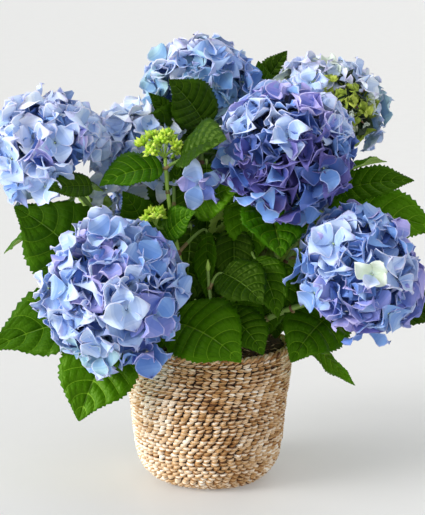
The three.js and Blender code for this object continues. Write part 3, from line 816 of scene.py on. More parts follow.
def stem(heap, name, start, end, sides, zones, nodes, ridges=0.0):
    """A cane's tapering stem between two shares of its line, swollen where leaves spring from it."""
    line = cane_line(name)
    ts = set(np.linspace(start, end, STEM_RINGS))
    for node in nodes:
        ts.update(node + step for step in NODE_STEPS if start < node + step < end)
    ts = array(sorted(ts))
    swell = sum((np.exp(-(((ts - node) / NODE_LENGTH) ** 2)) for node in nodes), np.zeros(len(ts)))
    swell = 1 + NODE_SWELL * np.clip(swell, 0, 1)
    radii = cane_radius(name, 1) / CANE_TIP * (1 - (1 - CANE_TIP) * ts) * swell
    points, faces = tube(bezier(line, ts), radii, sides)
    if ridges:
        centre = np.repeat(bezier(line, ts), sides, axis=0)
        j = np.tile(np.arange(sides), len(ts))
        s = np.repeat(ts, sides)
        relief = 1 + ridges * np.sin(5 * j + 9 * s) * np.sin(23 * s + 2.1 * j)
        points = centre + (points - centre) * relief[:, None]
    middle = ts[np.minimum(faces.min(axis=1) // sides, len(ts) - 2)]
    ringed = np.zeros(len(faces), dtype=bool)
    for node in nodes:
        ringed |= np.abs(middle - node) < NODE_BAND
    heap.add(points, faces, np.where(ringed, zones[1], zones[0]))


def nodes_of(name):
    """Where leaves spring from a cane, as shares of its line."""
    shares = np.linspace(0, 1, 401)
    line = bezier(cane_line(name), shares)
    return sorted({round(float(shares[np.linalg.norm(line - leaf.node, axis=1).argmin()]), 3)
                   for leaf in LEAVES if leaf.cane == name})


# A leaf's shade is drawn from the first of the leaf shades, or set here, in the leaves' order on the cane.
# The darkest ones set here are partly painted shade on those leaves; the brightest, on the bud's cane, are
# young leaves.
SHADES_DRAWN = 5
SHADES_SET = {"bud": (5, 4, 2, 5, 1, 4), "top": (4, 4), "front": (2, 0, 4), "centre": (0, 5, 4),
              "lowright": (1, 2), "left": (4, 1), "lowleft": (1, 2)}
# The other leaf of some pairs, hanging inside the crown, where the solids keep a clear space
INNER = {
    "bud": [(0.6, (-40, 25, 380), -80, -72, 85, 72, 0, 15)],
    "top": [(0.9, (-18, 48, 402), -152, 30, 74, 60, 90, 20),
            (0.6, (-2, 36, 372), -92, -74, 88, 74, 0, 18)],
    "right": [(0.5, (74, 6, 262), -95, -58, 90, 74, 0, 20),
              (0.62, (118, 10, 262), -60, -40, 90, 75, 0, 25)],
    "midleft": [(0.45, (-20, 5, 300), -100, -60, 95, 80, 5, 20),
                (0.62, (-80, 0, 300), -120, -50, 90, 70, 0, 25)],
    "lowleft": [(0.42, (-62, -5, 240), -80, -55, 85, 70, -5, 25)],
    "centre": [(0.66, (52, 10, 345), -90, -60, 85, 72, 5, 20)],
    "front": [(0.2, (30, -20, 225), -70, -45, 75, 62, 0, 30)],
    "lowright": [(0.46, (84, 20, 240), -100, -62, 76, 64, 0, 20)],
    "topright": [(0.24, (0, 28, 272), -95, -60, 76, 64, 0, 20)],
}

# The growing tip of a cane that ends in leaves: its radius at steps past the cane's end
TIP_BUD = {-3.0: 1.2, 0.0: 2.4, 3.0: 2.9, 7.0: 2.0, 10.0: 1.0, 12.0: 0.2}

LEAVES, TAKEN, LINES = all_leaves()
THIN = thin_leaves(TAKEN, LINES)


def foliage_of(name):
    """A cane's leaves with their stalks, on its green stem."""
    own = [leaf for leaf in LEAVES if leaf.cane == name]
    own += [Leaf(name, bezier(cane_line(name), row[0]), *row[1:]) for row in INNER.get(name, [])]
    own += [leaf for leaf in THIN if leaf.cane == name]
    random = seeded(100 + list(CANES).index(name))
    shades_set = SHADES_SET.get(name, ())
    blades = Heap()
    stalks = Heap()
    for number, leaf in enumerate(own):
        shade = int(random() * SHADES_DRAWN)
        if number < len(shades_set):
            shade = shades_set[number]
        blades.add(blade(leaf, random), LEAF_FACES, 3 * shade + LEAF_ZONES)
        line, radii = stalk_line(leaf)
        points, faces = tube(line, radii, STALK_SIDES)
        flushed = (faces.min(axis=1) < 2 * STALK_SIDES) & (random() < FLUSHED_SHARE)
        stalks.add(points, faces, np.where(flushed, STALK_RED, STALK))
    green = STALK_PALE if name == "bud" else STALK
    stem(stalks, name, CANES[name][1], 1.0, 8, (green, NODE_BROWN), nodes_of(name))
    if name not in HEADS and name != "bud":
        end, before = bezier(cane_line(name), 1.0), bezier(cane_line(name), 0.96)
        growth = [end + unit(end - before) * step for step in TIP_BUD]
        points, faces = tube(array(growth), array(list(TIP_BUD.values())), 8)
        stalks.add(points, faces, STALK_PALE)
    foliage = blades.piece(f"foliage_{name}", LEAF_FINISH)
    sheet = foliage.modifiers.new("sheet", "SOLIDIFY")
    sheet.thickness = LEAF_SHEET * MM
    sheet.offset = -1
    sheet.material_offset = len(LEAF_FINISH)
    apply_all(foliage)
    shoots = stalks.piece(f"shoots_{name}", LEAF_FINISH)
    only(shoots, foliage)
    bpy.ops.object.join()
    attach(foliage, "root")
    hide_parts(f"leaves_{name}")


for name in CANES:
    foliage_of(name)


# ---------------------------------------------------------------- canes
# Green bark that turns brown in places, with its grain drawn out along the cane
BARK_TONES = [(0.3, "6A5238"), (0.5, "7E7A48"), (0.68, "93A05C")]
BARK = [grained("cane_bark", (1, 1, 0.25), {"Scale": 420, "Detail": 4}, BARK_TONES,
                {"Strength": 0.4, "Distance": 0.0005}, 0.62),
        finish("bark_node", "6A4732", (0.55, 0.75), 400)]
BARK_RINGS = (0.1, 0.19, 0.27, 0.34)


def bare_cane(name):
    """The bare foot of a cane, ringed with the scars of old leaves."""
    heap = Heap()
    fork = CANES[name][1]
    rings = [share for share in BARK_RINGS if share < fork - 0.03]
    stem(heap, name, 0.0, fork, 10, (0, 1), rings, ridges=0.05)
    cane = heap.piece(f"stem_{name}", BARK)
    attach(cane, "root")
    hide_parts(f"cane_{name}")


for name in CANES:
    bare_cane(name)


# ---------------------------------------------------------------- florets
SEPAL_ROWS = array((0.03, 0.18, 0.34, 0.49, 0.63, 0.76, 0.88, 1))
SEPAL_COLUMNS = array((-1, -0.92, -0.48, 0, 0.48, 0.92, 1))
SEPAL_WIDEST = 0.52
SEPAL_SHEET = 0.017
SEPAL_CURLS_FROM = 0.7
# The least and the most of a sepal's cup, twist, wave, curl and point
SEPAL_SPANS = ((-0.25, 0.4), (-0.5, 0.5), (0.1, 0.26), (-0.5, 2.4), (0.8, 1.3))
FIFTH_SEPAL = 0.2
UPPER_PITCH, UPPER_RISE = 14, 0.05
BEAD_RADII = (0.042, 0.042, 0.05)
THROAT, HEART, FLUSH, BLADE, TIP, RIM_HIGHLIGHT = range(len(ZONES))


def sepal_model(width, cup, fold, twist, wave, curl, phase, point, fine=True):
    """One sepal of length 1 along x: pointed, cupped, folded and waved, with a thin pale rim that is a
    painted highlight.
    """
    rows = SEPAL_ROWS if fine else SEPAL_ROWS[[0, 2, 4, 7]]
    columns = SEPAL_COLUMNS if fine else SEPAL_COLUMNS[[0, 3, 6]]
    model = laid(len(rows) - 1, len(columns) - 1)
    for face in model.data.polygons:
        i = int((face.center.x + 1) / 2 * (len(rows) - 1))
        j = int((face.center.y + 1) / 2 * (len(columns) - 1))
        # Rows near the middle take the heart's deeper colour, partly painted shade
        face.material_index = (THROAT, HEART, HEART, FLUSH, BLADE, BLADE, TIP)[i] if fine else BLADE
        # Painted highlight: a pale rim down one side edge, or both, as the phase falls
        if fine and i > 0 and (j == 0 and phase < 4.2 or j == len(columns) - 2 and phase > 2.1):
            face.material_index = RIM_HIGHLIGHT
    for vertex in model.data.vertices:
        s = rows[round((vertex.co.x + 1) / 2 * (len(rows) - 1))]
        t = columns[round((vertex.co.y + 1) / 2 * (len(columns) - 1))]
        low, high = (SEPAL_WIDEST - s) / SEPAL_WIDEST, (s - SEPAL_WIDEST) / (1 - SEPAL_WIDEST)
        share = 1 - low**1.6 if s < SEPAL_WIDEST else math.cos(high * math.pi / 2) ** point
        half = width * share + 0.004
        y = t * half
        z = cup * s * s - 0.1 * s + fold * abs(t) ** 1.3 * half
        z += wave * t * t * s * 1.4 * math.sin(8.5 * s + phase + 2.2 * t)
        z += 0.35 * wave * s * math.sin(8 * s + 2 * phase) - curl * max(0, s - SEPAL_CURLS_FROM) ** 2
        turn = twist * s
        vertex.co = (s, y * math.cos(turn) - z * math.sin(turn), y * math.sin(turn) + z * math.cos(turn))
    sheet = model.modifiers.new("sheet", "SOLIDIFY")
    sheet.thickness = SEPAL_SHEET
    sheet.offset = 0
    apply_all(model)
    return harvest(model)


def floret_model(seed, pitches=(4, 42), widths=(0.46, 0.58), folds=(0.1, 0.75), fine=True):
    """A floret of reach 1: four sepals, now and then five, round a bead. Zones count by sepal."""
    random = seeded(seed)
    points, faces, zones = [], [], []
    count = 0
    cups, twists, waves, curls, tips = SEPAL_SPANS
    spans = (widths, cups, folds, twists, waves, curls, (0, 6.28), tips)
    sepals = 5 if random() < FIFTH_SEPAL else 4
    spread = 2 * math.pi / sepals
    for k in range(sepals):
        shape = sepal_model(*[between(random, *span) for span in spans], fine)
        size = between(random, 0.8, 1.04)
        pitch = math.radians(between(random, *pitches) + (UPPER_PITCH if k % 2 else 0))
        turn = k * spread + between(random, -0.14, 0.14)
        local = shape[0] * size
        x = local[:, 0] * math.cos(pitch) - local[:, 2] * math.sin(pitch) + 0.03
        z = local[:, 0] * math.sin(pitch) + local[:, 2] * math.cos(pitch) + (UPPER_RISE if k % 2 else 0)
        y = local[:, 1]
        c, s = math.cos(turn), math.sin(turn)
        points.append(np.stack([x * c - y * s, x * s + y * c, z], axis=1))
        faces.append(shape[1] + count)
        zones.append(shape[2] + len(ZONES) * k)
        count += len(local)
    bead = BALL[0] * BEAD_RADII + (0, 0, 0.03)
    points.append(bead)
    faces.append(BALL[1] + count)
    zones.append(np.full(len(BALL[1]), -1))
    return np.concatenate(points), np.concatenate(faces), np.concatenate(zones)


BALL = harvest(ball(1))
FLORETS = [floret_model(500 + i) for i in range(14)]
STEEP_FLORETS = [floret_model(530 + i, (26, 60), folds=(0.3, 1.1)) for i in range(12)]
OPEN_FLORETS = [floret_model(560 + i, (3, 26)) for i in range(8)]
LONG_FLORETS = [floret_model(580 + i, (-8, 12), (0.34, 0.4)) for i in range(2)]
INNER_FLORETS = [floret_model(600 + i, (12, 60), fine=False) for i in range(8)]


def add_floret(heap, model, place, axis, spin, reach, tints, bead):
    """A floret of one of the models, turned to its axis, each sepal in its own tint."""
    points, faces, zones = model
    turned = points * reach @ turned_to(axis, spin).T + place
    base = array([TINT_INDEX[tint] for tint in tints]).astype(int)
    sepal = np.minimum(np.maximum(zones, 0) // len(ZONES), len(base) - 1)
    heap.add(turned, faces, np.where(zones < 0, bead, base[sepal] + zones % len(ZONES)))


def dome(count, lowest, random):
    """Evenly spread directions, from the top of a dome down to a level, each a little off its place."""
    for i in range(count):
        level = 1 - (1 - lowest) * (i + 0.5) / count
        level = max(-0.98, min(0.995, level + 0.03 * (random() - 0.5)))
        ring = math.sqrt(1 - level * level)
        turn = i * math.pi * (3 - math.sqrt(5)) + 0.25 * (random() - 0.5)
        yield array((ring * math.cos(turn), ring * math.sin(turn), level))


# How a head is filled: how far apart its florets stand and how far they reach, how low the dome goes,
# and how much larger than its solid it is
GRIP = 32.0
REACH, REACH_OF = 28.5, {"topright": 25.0}
DOME_TO, DOME_TO_OF = -0.62, {"midleft": -0.86, "centre": -0.72}
SWELL = {"midleft": 1.14}
FULL_SIZE = 84
# Stalks from the cane branch out under the florets
BRANCHES, BRANCH_DEPTH = 9, 0.42
# Open florets lie flat on top with others tucked in round them, steep ones stand deeper
OPEN_FROM, OPEN_FROM_OF = 0.5, {"centre": 0.86}
OPEN_SPACING = 40
TUCK_LEVEL, TUCK_LEAN = 4, 0.35
OPEN_LEVEL, MIDDLE_LEVEL, STEEP_LEVEL = 14, 24, 28
STEEP, STEEP_OF = 0.25, {"centre": 0.72, "lowright": 0.4, "backright": 0.4, "lowleft": 0.35}
# Loose florets hang below this level on some heads, and one head is pressed in where its neighbour stands
HANGING = -0.42
LOOSE = {"left": 0.06, "midleft": 0.16, "lowleft": 0.04, "backleft": 0.05, "backright": 0.05}
PRESSED = {"top": unit(array((0.1, -0.9, -0.35)))}
PRESSED_FROM, PRESSED_BY = 0.7, 0.1
# Tints: how far round the painted lit side goes, how mixed the painted lit and shaded sides are, and how
# alike a floret's sepals are
LIT_TO = {"centre": -0.12, "left": 0.1}
TINT_MIX = 0.4
SAME_TINT = 0.72
GREEN_BEADS = 0.6
PALE_FLORETS = {
    "lowright": [((0.3, -0.9, 0.15), "ice mist ice ice cream"), ((0.75, -0.6, 0.1), "haze"),
                 ((0.6, -0.75, 0.35), "haze")],
    "lowleft": [((-0.3, -0.6, -0.75), "aqua"), ((-0.6, -0.5, -0.6), "aqua"),
                ((-0.1, -0.75, -0.6), "pale_sky")],
    "left": [((0.2, -0.95, 0.1), "pale_sky")],
}
# The inner layer of florets that is seen between the outer ones, its dark tints painted shade in the gaps
INNER_DEPTH, INNER_SHARE, INNER_REACH = 0.56, 0.55, 0.95
HOLLOW_SHADE_TINTS = "slate cornflower"
HOLLOW_SHADE_TINTS_OF = {"left": "cornflower azure slate", "midleft": "sky azure cornflower",
             "top": "steel slate cornflower", "topright": "hollow_green lime",
             "centre": "deep_blue hollow deep_violet"}
# The side of one head that is still young
YOUNG_HEAD = "topright"
YOUNG_SIDE = unit(array((0.13, -0.97, -0.06)))
YOUNG_FROM, GROWN_TO, RED_FROM = 0.62, 0.7, 0.5
YOUNG_TINTS = ("young", "lime", "lime", "cream", "ice")
YOUNG_COUNT = 560


def picked(random, kinds):
    """One of several, drawn at random."""
    return kinds[int(random() * len(kinds))]


class Mophead:
    """A head while it is put together: where it stands, its random numbers and its branching stalks."""

    def __init__(self, name, seed):
        centre, radius, squash, _, _ = HEADS[name]
        self.name = name
        self.centre = array(centre)
        self.radius = radius * SWELL.get(name, 1)
        self.squash = squash
        self.axis = head_axis(HEADS[name])
        self.upright = turned_to(self.axis, 0)
        self.lowest = DOME_TO_OF.get(name, DOME_TO)
        self.area = 2 * math.pi * self.radius * self.radius * (1 - self.lowest) * (0.35 + 0.65 * squash)
        self.reach = REACH_OF.get(name, REACH)
        self.random = seeded(seed)
        self.heap = Heap()
        hub = self.centre - self.axis * (HEAD_FOOT * self.radius * squash + 4)
        self.branches = [self.spot(way, BRANCH_DEPTH) for way in dome(BRANCHES, -0.1, self.random)]
        low = hub + (self.centre - hub) * 0.4
        for branch in self.branches:
            line = bezier((hub, low, (hub + branch) / 2, branch), np.linspace(0, 1, 5))
            self.heap.add(*tube(line, np.linspace(1.7, 1.0, 5), 6), PEDICEL_GREEN)

    def spot(self, direction, depth):
        """The place on a direction from the head's middle, at a share of its radius."""
        return self.centre + self.upright @ (direction * (1, 1, self.squash)) * self.radius * depth

    def pedicel(self, place, rise, back, radii, worn):
        """A floret's own stalk, from the nearest branch."""
        near = min(self.branches, key=lambda branch: np.linalg.norm(branch - place))
        line = bezier((near, near + rise, place - back, place), np.linspace(0, 1, 4))
        self.heap.add(*tube(line, radii, 4), worn)


def outer_florets(head):
    """The outer layer, its tints painted lit on one side and shaded on the other."""
    name, radius, upright, random = head.name, head.radius, head.upright, head.random
    lit, shaded, way = DRESS[name]
    lit, shaded, way = lit.split(), shaded.split(), unit(array(way))
    directions = list(dome(round(head.area / GRIP**2), head.lowest, random))
    worlds = [upright @ direction for direction in directions]
    pale = {}
    for way_out, tint in PALE_FLORETS.get(name, []):
        pale[int(np.argmax(array(worlds) @ unit(array(way_out))))] = (tint.split() * 5)[:5]
    open_places = [directions[index] for index in pale]
    kinds = [random() for _ in directions]
    hangings = [world[2] < HANGING and random() < 0.5 and name in LOOSE for world in worlds]
    for direction, kind, hanging in zip(directions, kinds, hangings):
        spaced = all(np.linalg.norm(direction - other) * radius > OPEN_SPACING for other in open_places)
        if hanging or (kind > OPEN_FROM_OF.get(name, OPEN_FROM) and spaced):
            open_places.append(direction)
    for index, (direction, world) in enumerate(zip(directions, worlds)):
        normal = unit(upright @ (direction * (1, 1, 1 / head.squash)))
        if name == YOUNG_HEAD and world @ YOUNG_SIDE > GROWN_TO:
            continue
        steep = kinds[index] < STEEP_OF.get(name, STEEP)
        nearest_open = min(open_places, key=lambda other: np.linalg.norm(direction - other))
        aside = direction - nearest_open
        open_face = not aside.any()
        tucked = not open_face and np.linalg.norm(aside) * radius < OPEN_SPACING
        level = OPEN_LEVEL if open_face else STEEP_LEVEL if steep else MIDDLE_LEVEL
        level += TUCK_LEVEL if tucked else 0
        under = -TUCK_LEAN * (upright @ unit(aside)) if tucked else array((0, 0, 0))
        depth = 1 - (level + 4 * random()) / radius * min(1, radius / FULL_SIZE) ** 1.5
        if name in PRESSED and world @ PRESSED[name] > PRESSED_FROM:
            depth -= PRESSED_BY
        axis = unit(normal + under + 0.3 * jitter(random))
        size = head.reach * (0.92 + 0.2 * random())
        if hangings[index]:
            depth += LOOSE[name] * (0.5 + random())
            axis = unit(normal + head.axis + 0.3 * jitter(random))
        # Painted light and shade: a floret takes the lit tints on the side towards the lamps, the shaded ones
        # beyond
        palette = lit if world @ way + TINT_MIX * (random() - 0.5) < LIT_TO.get(name, 0) else shaded
        tints = [picked(random, palette)]
        tints += [tints[0] if random() < SAME_TINT else picked(random, palette) for _ in range(4)]
        if index in pale:
            tints = pale[index]
            size *= 0.76 if "cream" in tints else 0.9
        place = head.spot(direction, depth)
        models = OPEN_FLORETS if open_face else STEEP_FLORETS if steep else FLORETS
        add_floret(head.heap, picked(random, models), place, axis, 6.28 * random(), size, tints,
                   BEAD_GREEN if random() < GREEN_BEADS else BEAD_BLUE)
        worn = PEDICEL_RED if name == YOUNG_HEAD and world @ YOUNG_SIDE > RED_FROM else PEDICEL_GREEN
        head.pedicel(place, normal * 4, axis * 9, np.linspace(0.75, 0.55, 4), worn)


def inner_florets(head):
    """The inner layer that is seen between the outer florets, its darker tints painted shade in the gaps."""
    random = head.random
    # The inner layer's tints are darker than the outer ones: painted shade between the florets
    shade_tints = HOLLOW_SHADE_TINTS_OF.get(head.name, HOLLOW_SHADE_TINTS).split()
    for direction in dome(round(INNER_SHARE * head.area / GRIP**2), head.lowest + 0.1, random):
        axis = unit(head.upright @ direction + 0.5 * jitter(random))
        place = head.spot(direction, INNER_DEPTH)
        tints = [picked(random, shade_tints)] * 5
        add_floret(head.heap, picked(random, INNER_FLORETS), place, axis, 6.28 * random(),
                   head.reach * INNER_REACH, tints, BEAD_BLUE)


def young_florets(head):
    """The side of a head where the florets are still small and green, on bare flushed stalks."""
    random = head.random
    for direction in dome(YOUNG_COUNT, -0.75, random):
        world = head.upright @ direction
        if world @ YOUNG_SIDE < YOUNG_FROM:
            continue
        depth = 0.42 + 0.36 * random()
        axis = unit(world + 0.6 * jitter(random))
        place = head.spot(direction, depth)
        tints = [picked(random, YOUNG_TINTS)] * 5
        add_floret(head.heap, picked(random, INNER_FLORETS), place, axis, 6.28 * random(),
                   between(random, 6, 14), tints, BEAD_GREEN)
        head.pedicel(place, UP * 2, axis * 6, 0.8, PEDICEL_RED)


def mophead(name, seed):
    """A whole mophead: an outer layer of florets over an inner one whose darker tints are painted shade, on
    branching stalks.
    """
    head = Mophead(name, seed)
    outer_florets(head)
    inner_florets(head)
    if name == YOUNG_HEAD:
        young_florets(head)
    made = head.heap.piece(f"mophead_{name}", BLOOM_FINISH)
    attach(made, "root")
    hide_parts(f"bloom_{name}")


for number, name in enumerate(HEADS):
    mophead(name, 700 + number)

# The two long florets that hang on the bud's cane
small = Heap()
add_floret(small, LONG_FLORETS[0], array(SMALL_BLOOM) + (3, 0, 9), heading(-100, -12), 0.5, 32,
           "sky pale_sky lilac sky periwinkle".split(), BEAD_GREEN)
add_floret(small, LONG_FLORETS[1], array(SMALL_BLOOM) + (13, 8, 10), heading(-50, -20), 1.2, 28,
           "cornflower lilac sky periwinkle sky".split(), BEAD_GREEN)
hanging = small.piece("hanging_floret", BLOOM_FINISH)
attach(hanging, "root")
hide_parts("leaves_bud")


# ---------------------------------------------------------------- flower buds
def bud_model():
    """A plump bud of height 1 drawn to a small point."""
    model = ball(1)
    for vertex in model.data.vertices:
        if vertex.co.z > 0:
            vertex.co.z *= 1 + 0.35 * max(0, 1 - 1.6 * math.hypot(vertex.co.x, vertex.co.y))
            vertex.co.x *= 1 - 0.25 * vertex.co.z
            vertex.co.y *= 1 - 0.25 * vertex.co.z
    return harvest(model)


BUD_MODEL = bud_model()


def bud_cluster(heap, root, centre, radius, height, bunches, buds, random):
    """Bunches of small green buds on short stalks, spread over a low dome."""
    for spot in dome(bunches, -0.35, random):
        top = centre + spot * (radius * 0.66, radius * 0.66, height * 0.55)
        base = root + (centre - root) * 0.55 + spot * (radius * 0.2, radius * 0.2, 0)
        line = bezier((root, (root + base) / 2, base, top - spot * 3), np.linspace(0, 1, 5))
        heap.add(*tube(line, np.linspace(1.3, 0.8, 5), 6), BUD_STALK)
        for out in dome(buds, -0.3, random):
            axis = unit(out + 0.7 * spot)
            size = between(random, 2.5, 4)
            place = top + axis * (radius * 0.2 + 2.2 * random())
            points, faces = tube(np.linspace(top - spot * 3, place, 3), (0.6, 0.5, 0.45), 4)
            heap.add(points, faces, BUD_STALK_DARK if random() < 0.4 else BUD_STALK)
            body = BUD_MODEL[0] * (size * 0.74, size * 0.74, size * 1.25)
            body = body @ turned_to(axis, 6.28 * random()).T + place
            heap.add(body, BUD_MODEL[1], int(random() * len(BUD_SHADES)))


BUD_TIP = array(CANES["bud"][2])
buds = Heap()
middle = BUD_TIP + (-6, 0, 0.5 * BUD["height"] + 2)
bud_cluster(buds, BUD_TIP, middle, BUD["radius"], 1.5 * BUD["height"], bunches=9, buds=15, random=seeded(40))
bud_head = buds.piece("bud_cluster", BUD_FINISH)
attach(bud_head, "root")
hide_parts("bud_head")

young = Heap()
root, tip = bezier(cane_line("bud"), 0.6), array(YOUNG_BUD)
line = bezier((root, (root + tip) / 2 - UP * 4, tip - UP * 14, tip - UP * 8), np.linspace(0, 1, 6))
young.add(*tube(line, 1.5, 6), BUD_STALK_DARK)
bud_cluster(young, tip - UP * 9, tip, radius=14, height=13, bunches=5, buds=11, random=seeded(41))
young_bud = young.piece("young_buds", BUD_FINISH)
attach(young_bud, "root")
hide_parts("leaves_bud")


# ---------------------------------------------------------------- basket
def lean(z):
    """How far the basket's upper part leans to one side at a height."""
    t = np.clip((z - LEAN_FROM) / (LEAN_TO - LEAN_FROM), 0, 1)
    return RIM_LEAN * t * t * (3 - 2 * t)


def profile_line():
    """The basket's outer profile as a smooth curve: radius and height."""
    knots = array(BASKET_PROFILE)
    rows = []
    for i in range(len(knots) - 1):
        before, after = knots[max(i - 1, 0)], knots[min(i + 2, len(knots) - 1)]
        a, b = knots[i], knots[i + 1]
        for t in np.arange(20) / 20:
            v0, v1 = (b - before) / 2, (after - a) / 2
            rows.append((2 * a - 2 * b + v0 + v1) * t**3 + (-3 * a + 3 * b - 2 * v0 - v1) * t**2 + v0 * t + a)
    rows.append(knots[-1])
    return array(rows)


PROFILE = profile_line()
PROFILE_RUN = np.concatenate([[0], np.cumsum(np.linalg.norm(np.diff(PROFILE, axis=0), axis=1))])
ROW_HEIGHT = 4.75
STITCH_PITCH = 9.8
BASE_ROW_WIDTH = 5.6
BASE_PITCH = 13
RIM_STITCHES = 58
SHELL_SIDES = 56
# Stitches of the wall, the underside and the rim: length, height and depth
STITCH = (12.0, 4.4, 6.6)
BASE_STITCH = (15, 6.2, 4.4)
RIM_STITCH = (13.5, 5.6, 6.0)
STRAND_TWIST = 0.9
TUCK = 1.45
# How stitches slant in every other row, in degrees, and how far inside the outline their middles lie
WALL_SLANTS = (-5, 13)
BASE_SLANT = 14
RIM_ROWS = ((-1.8, 24), (-5.2, -24))
STITCH_INSET = 2.2
BASE_LEVEL = 2.4
# The near-black shell behind the stitches, painted shade in the gaps between them: how far inside the
# outline, and the levels of its floor
SHELL_INSET = 4.3
SHELL_FLOOR = (4.2, 8.0)
# How dark the straw is: at the front, how much paler at the left and right, painted light where the lamps
# fall on those sides, and how mixed it is
STRAW_DARK = 0.54
STRAW_PAINTED_LIGHT = {"left": 0.26, "right": 0.07}
STRAW_MIX, STRAW_MIX_RIGHT = 0.24, 0.16


def on_profile(s):
    """The basket's radius and height at a length along its profile."""
    return array([np.interp(s, PROFILE_RUN, PROFILE[:, k]) for k in (0, 1)])


def strand_model():
    """One strand of seagrass, of length 2 along x and radius 1, drawn in at its closed ends."""
    bpy.ops.object.select_all(action="DESELECT")
    bpy.ops.mesh.primitive_cylinder_add(vertices=6, radius=1, depth=2, end_fill_type="NOTHING",
                                        rotation=(0, math.pi / 2, 0))
    model = bpy.context.object
    bpy.ops.object.transform_apply(rotation=True)
    bpy.ops.object.mode_set(mode="EDIT")
    bpy.ops.mesh.select_mode(type="EDGE")
    bpy.ops.mesh.select_all(action="DESELECT")
    bpy.ops.object.mode_set(mode="OBJECT")
    for edge in model.data.edges:
        a, b = (model.data.vertices[i].co for i in edge.vertices)
        edge.select = abs(a.x - b.x) > 0.5
    bpy.ops.object.mode_set(mode="EDIT")
    bpy.ops.mesh.subdivide(number_cuts=4)
    bpy.ops.object.mode_set(mode="OBJECT")
    ends = []
    for end in (-1, 1):
        ring = [vertex for vertex in model.data.vertices if abs(vertex.co.x - end) < 0.01]
        ring = [vertex.index for vertex in sorted(ring, key=lambda v: end * math.atan2(v.co.z, v.co.y))]
        ends += [ring[0:4], [ring[0], ring[3], ring[4], ring[5]]]
    for vertex in model.data.vertices:
        x, y, z = vertex.co
        girth = 0.24 + 0.76 * (1 - abs(x) ** 2.2) ** 0.65
        turn = STRAND_TWIST * x
        y, z = y * girth, z * girth
        vertex.co = (x, y * math.cos(turn) - z * math.sin(turn), y * math.sin(turn) + z * math.cos(turn))
    points, faces, _ = harvest(model)
    return points, np.concatenate([faces, ends])


STRAND = strand_model()


def add_stitch(heap, place, along, outward, size, slant, tone, random):
    """A stitch of two strands at its place in the weave, its ends tucked in behind its neighbours."""
    length, height, depth = size
    up = unit(np.cross(outward, along))
    along = unit(along)
    for hand in (-1, 1):
        points = STRAND[0]
        tuck = np.abs(points[:, 0]) ** 2.4 * TUCK
        x = points[:, 0] * length / 2 * (0.9 + 0.1 * random()) + hand * 0.04 * length
        z = points[:, 2] * height * 0.29 + hand * height * 0.235 * (1 - 0.35 * points[:, 0] ** 2)
        y = points[:, 1] * depth * 0.36 - tuck * depth / 2 + 0.3 * random()
        tilt = math.radians(slant + 5 * (random() - 0.5))
        x, z = x * math.cos(tilt) - z * math.sin(tilt), x * math.sin(tilt) + z * math.cos(tilt)
        made = place + x[:, None] * along + z[:, None] * up + y[:, None] * outward
        # Painted shade: the lower strand of each stitch goes darker and the upper one paler
        shade = int(len(STRAW) * (tone - 0.13 * hand + 0.26 * (random() - 0.5)))
        heap.add(made, STRAND[1], min(len(STRAW) - 1, max(0, shade)))


def straw_tone(turn, z, random):
    """How dark the straw is at a place of the wall: it changes slowly round it and up it, and is paler at the
    left and right as painted light.
    """
    streaks = 0.06 * math.sin(5 * turn + 0.031 * z) + 0.06 * math.sin(17 * turn - 0.052 * z + 1.7)
    # Painted light: paler towards the left and right sides
    left, right = max(0, -math.cos(turn)), max(0, math.cos(turn))
    mix = (STRAW_MIX + STRAW_MIX_RIGHT * right) * (random() - 0.5)
    return STRAW_DARK - STRAW_PAINTED_LIGHT["left"] * left - STRAW_PAINTED_LIGHT["right"] * right + streaks + mix


def round_basket(turn):
    """The way out from the basket's middle, and the way round it."""
    out = array((math.cos(turn), math.sin(turn), 0))
    return out, array((-math.sin(turn), math.cos(turn), 0))


def settled(heap, name):
    """The basket's lean and its flat foot, and then the piece."""
    for points in heap.points:
        points[:, 0] += lean(points[:, 2])
        points[:, 2] = np.maximum(points[:, 2], 0.1)
    made = heap.piece(name, BASKET_FINISH)
    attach(made, "root")
    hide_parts("basket")


def weave_wall():
    """Rows of stitches from the foot of the wall up to its rim, in a lower and an upper half."""
    heap = Heap()
    random = seeded(60)
    run = PROFILE_RUN[-1]
    count = round(run / ROW_HEIGHT)
    for row in range(count):
        if row == count // 2:
            settled(heap, "woven_wall_lower")
            heap = Heap()
        s = (row + 0.5) * run / count
        radius, z = on_profile(s)
        ahead = unit(on_profile(s + 1) - on_profile(s - 1))
        stitches = round(2 * math.pi * radius / STITCH_PITCH)
        start = 6.28 * random()
        drift = 6.28 * random()
        for i in range(stitches):
            turn = start + 2 * math.pi * (i + 0.16 * (random() - 0.5)) / stitches
            wobble = 0.8 * math.sin(3 * turn + drift) + 0.7 * (random() - 0.5)
            high = z + 0.7 * math.sin(2 * turn + 0.4 * row) + 0.4 * (random() - 0.5)
            out, along = round_basket(turn)
            outward = unit(out * ahead[1] - UP * ahead[0])
            place = out * (radius + 0.5 * wobble) + UP * high - outward * STITCH_INSET
            slant = WALL_SLANTS[row % 2] + 7 * math.sin(2 * turn + 0.25 * row) + 8 * (random() - 0.5)
            grow = 0.9 + 0.2 * random()
            size = (STITCH[0] * grow, STITCH[1] * (0.88 + 0.24 * random()), STITCH[2])
            add_stitch(heap, place, along, outward, size, slant, straw_tone(turn, z, random), random)
    settled(heap, "woven_wall_upper")


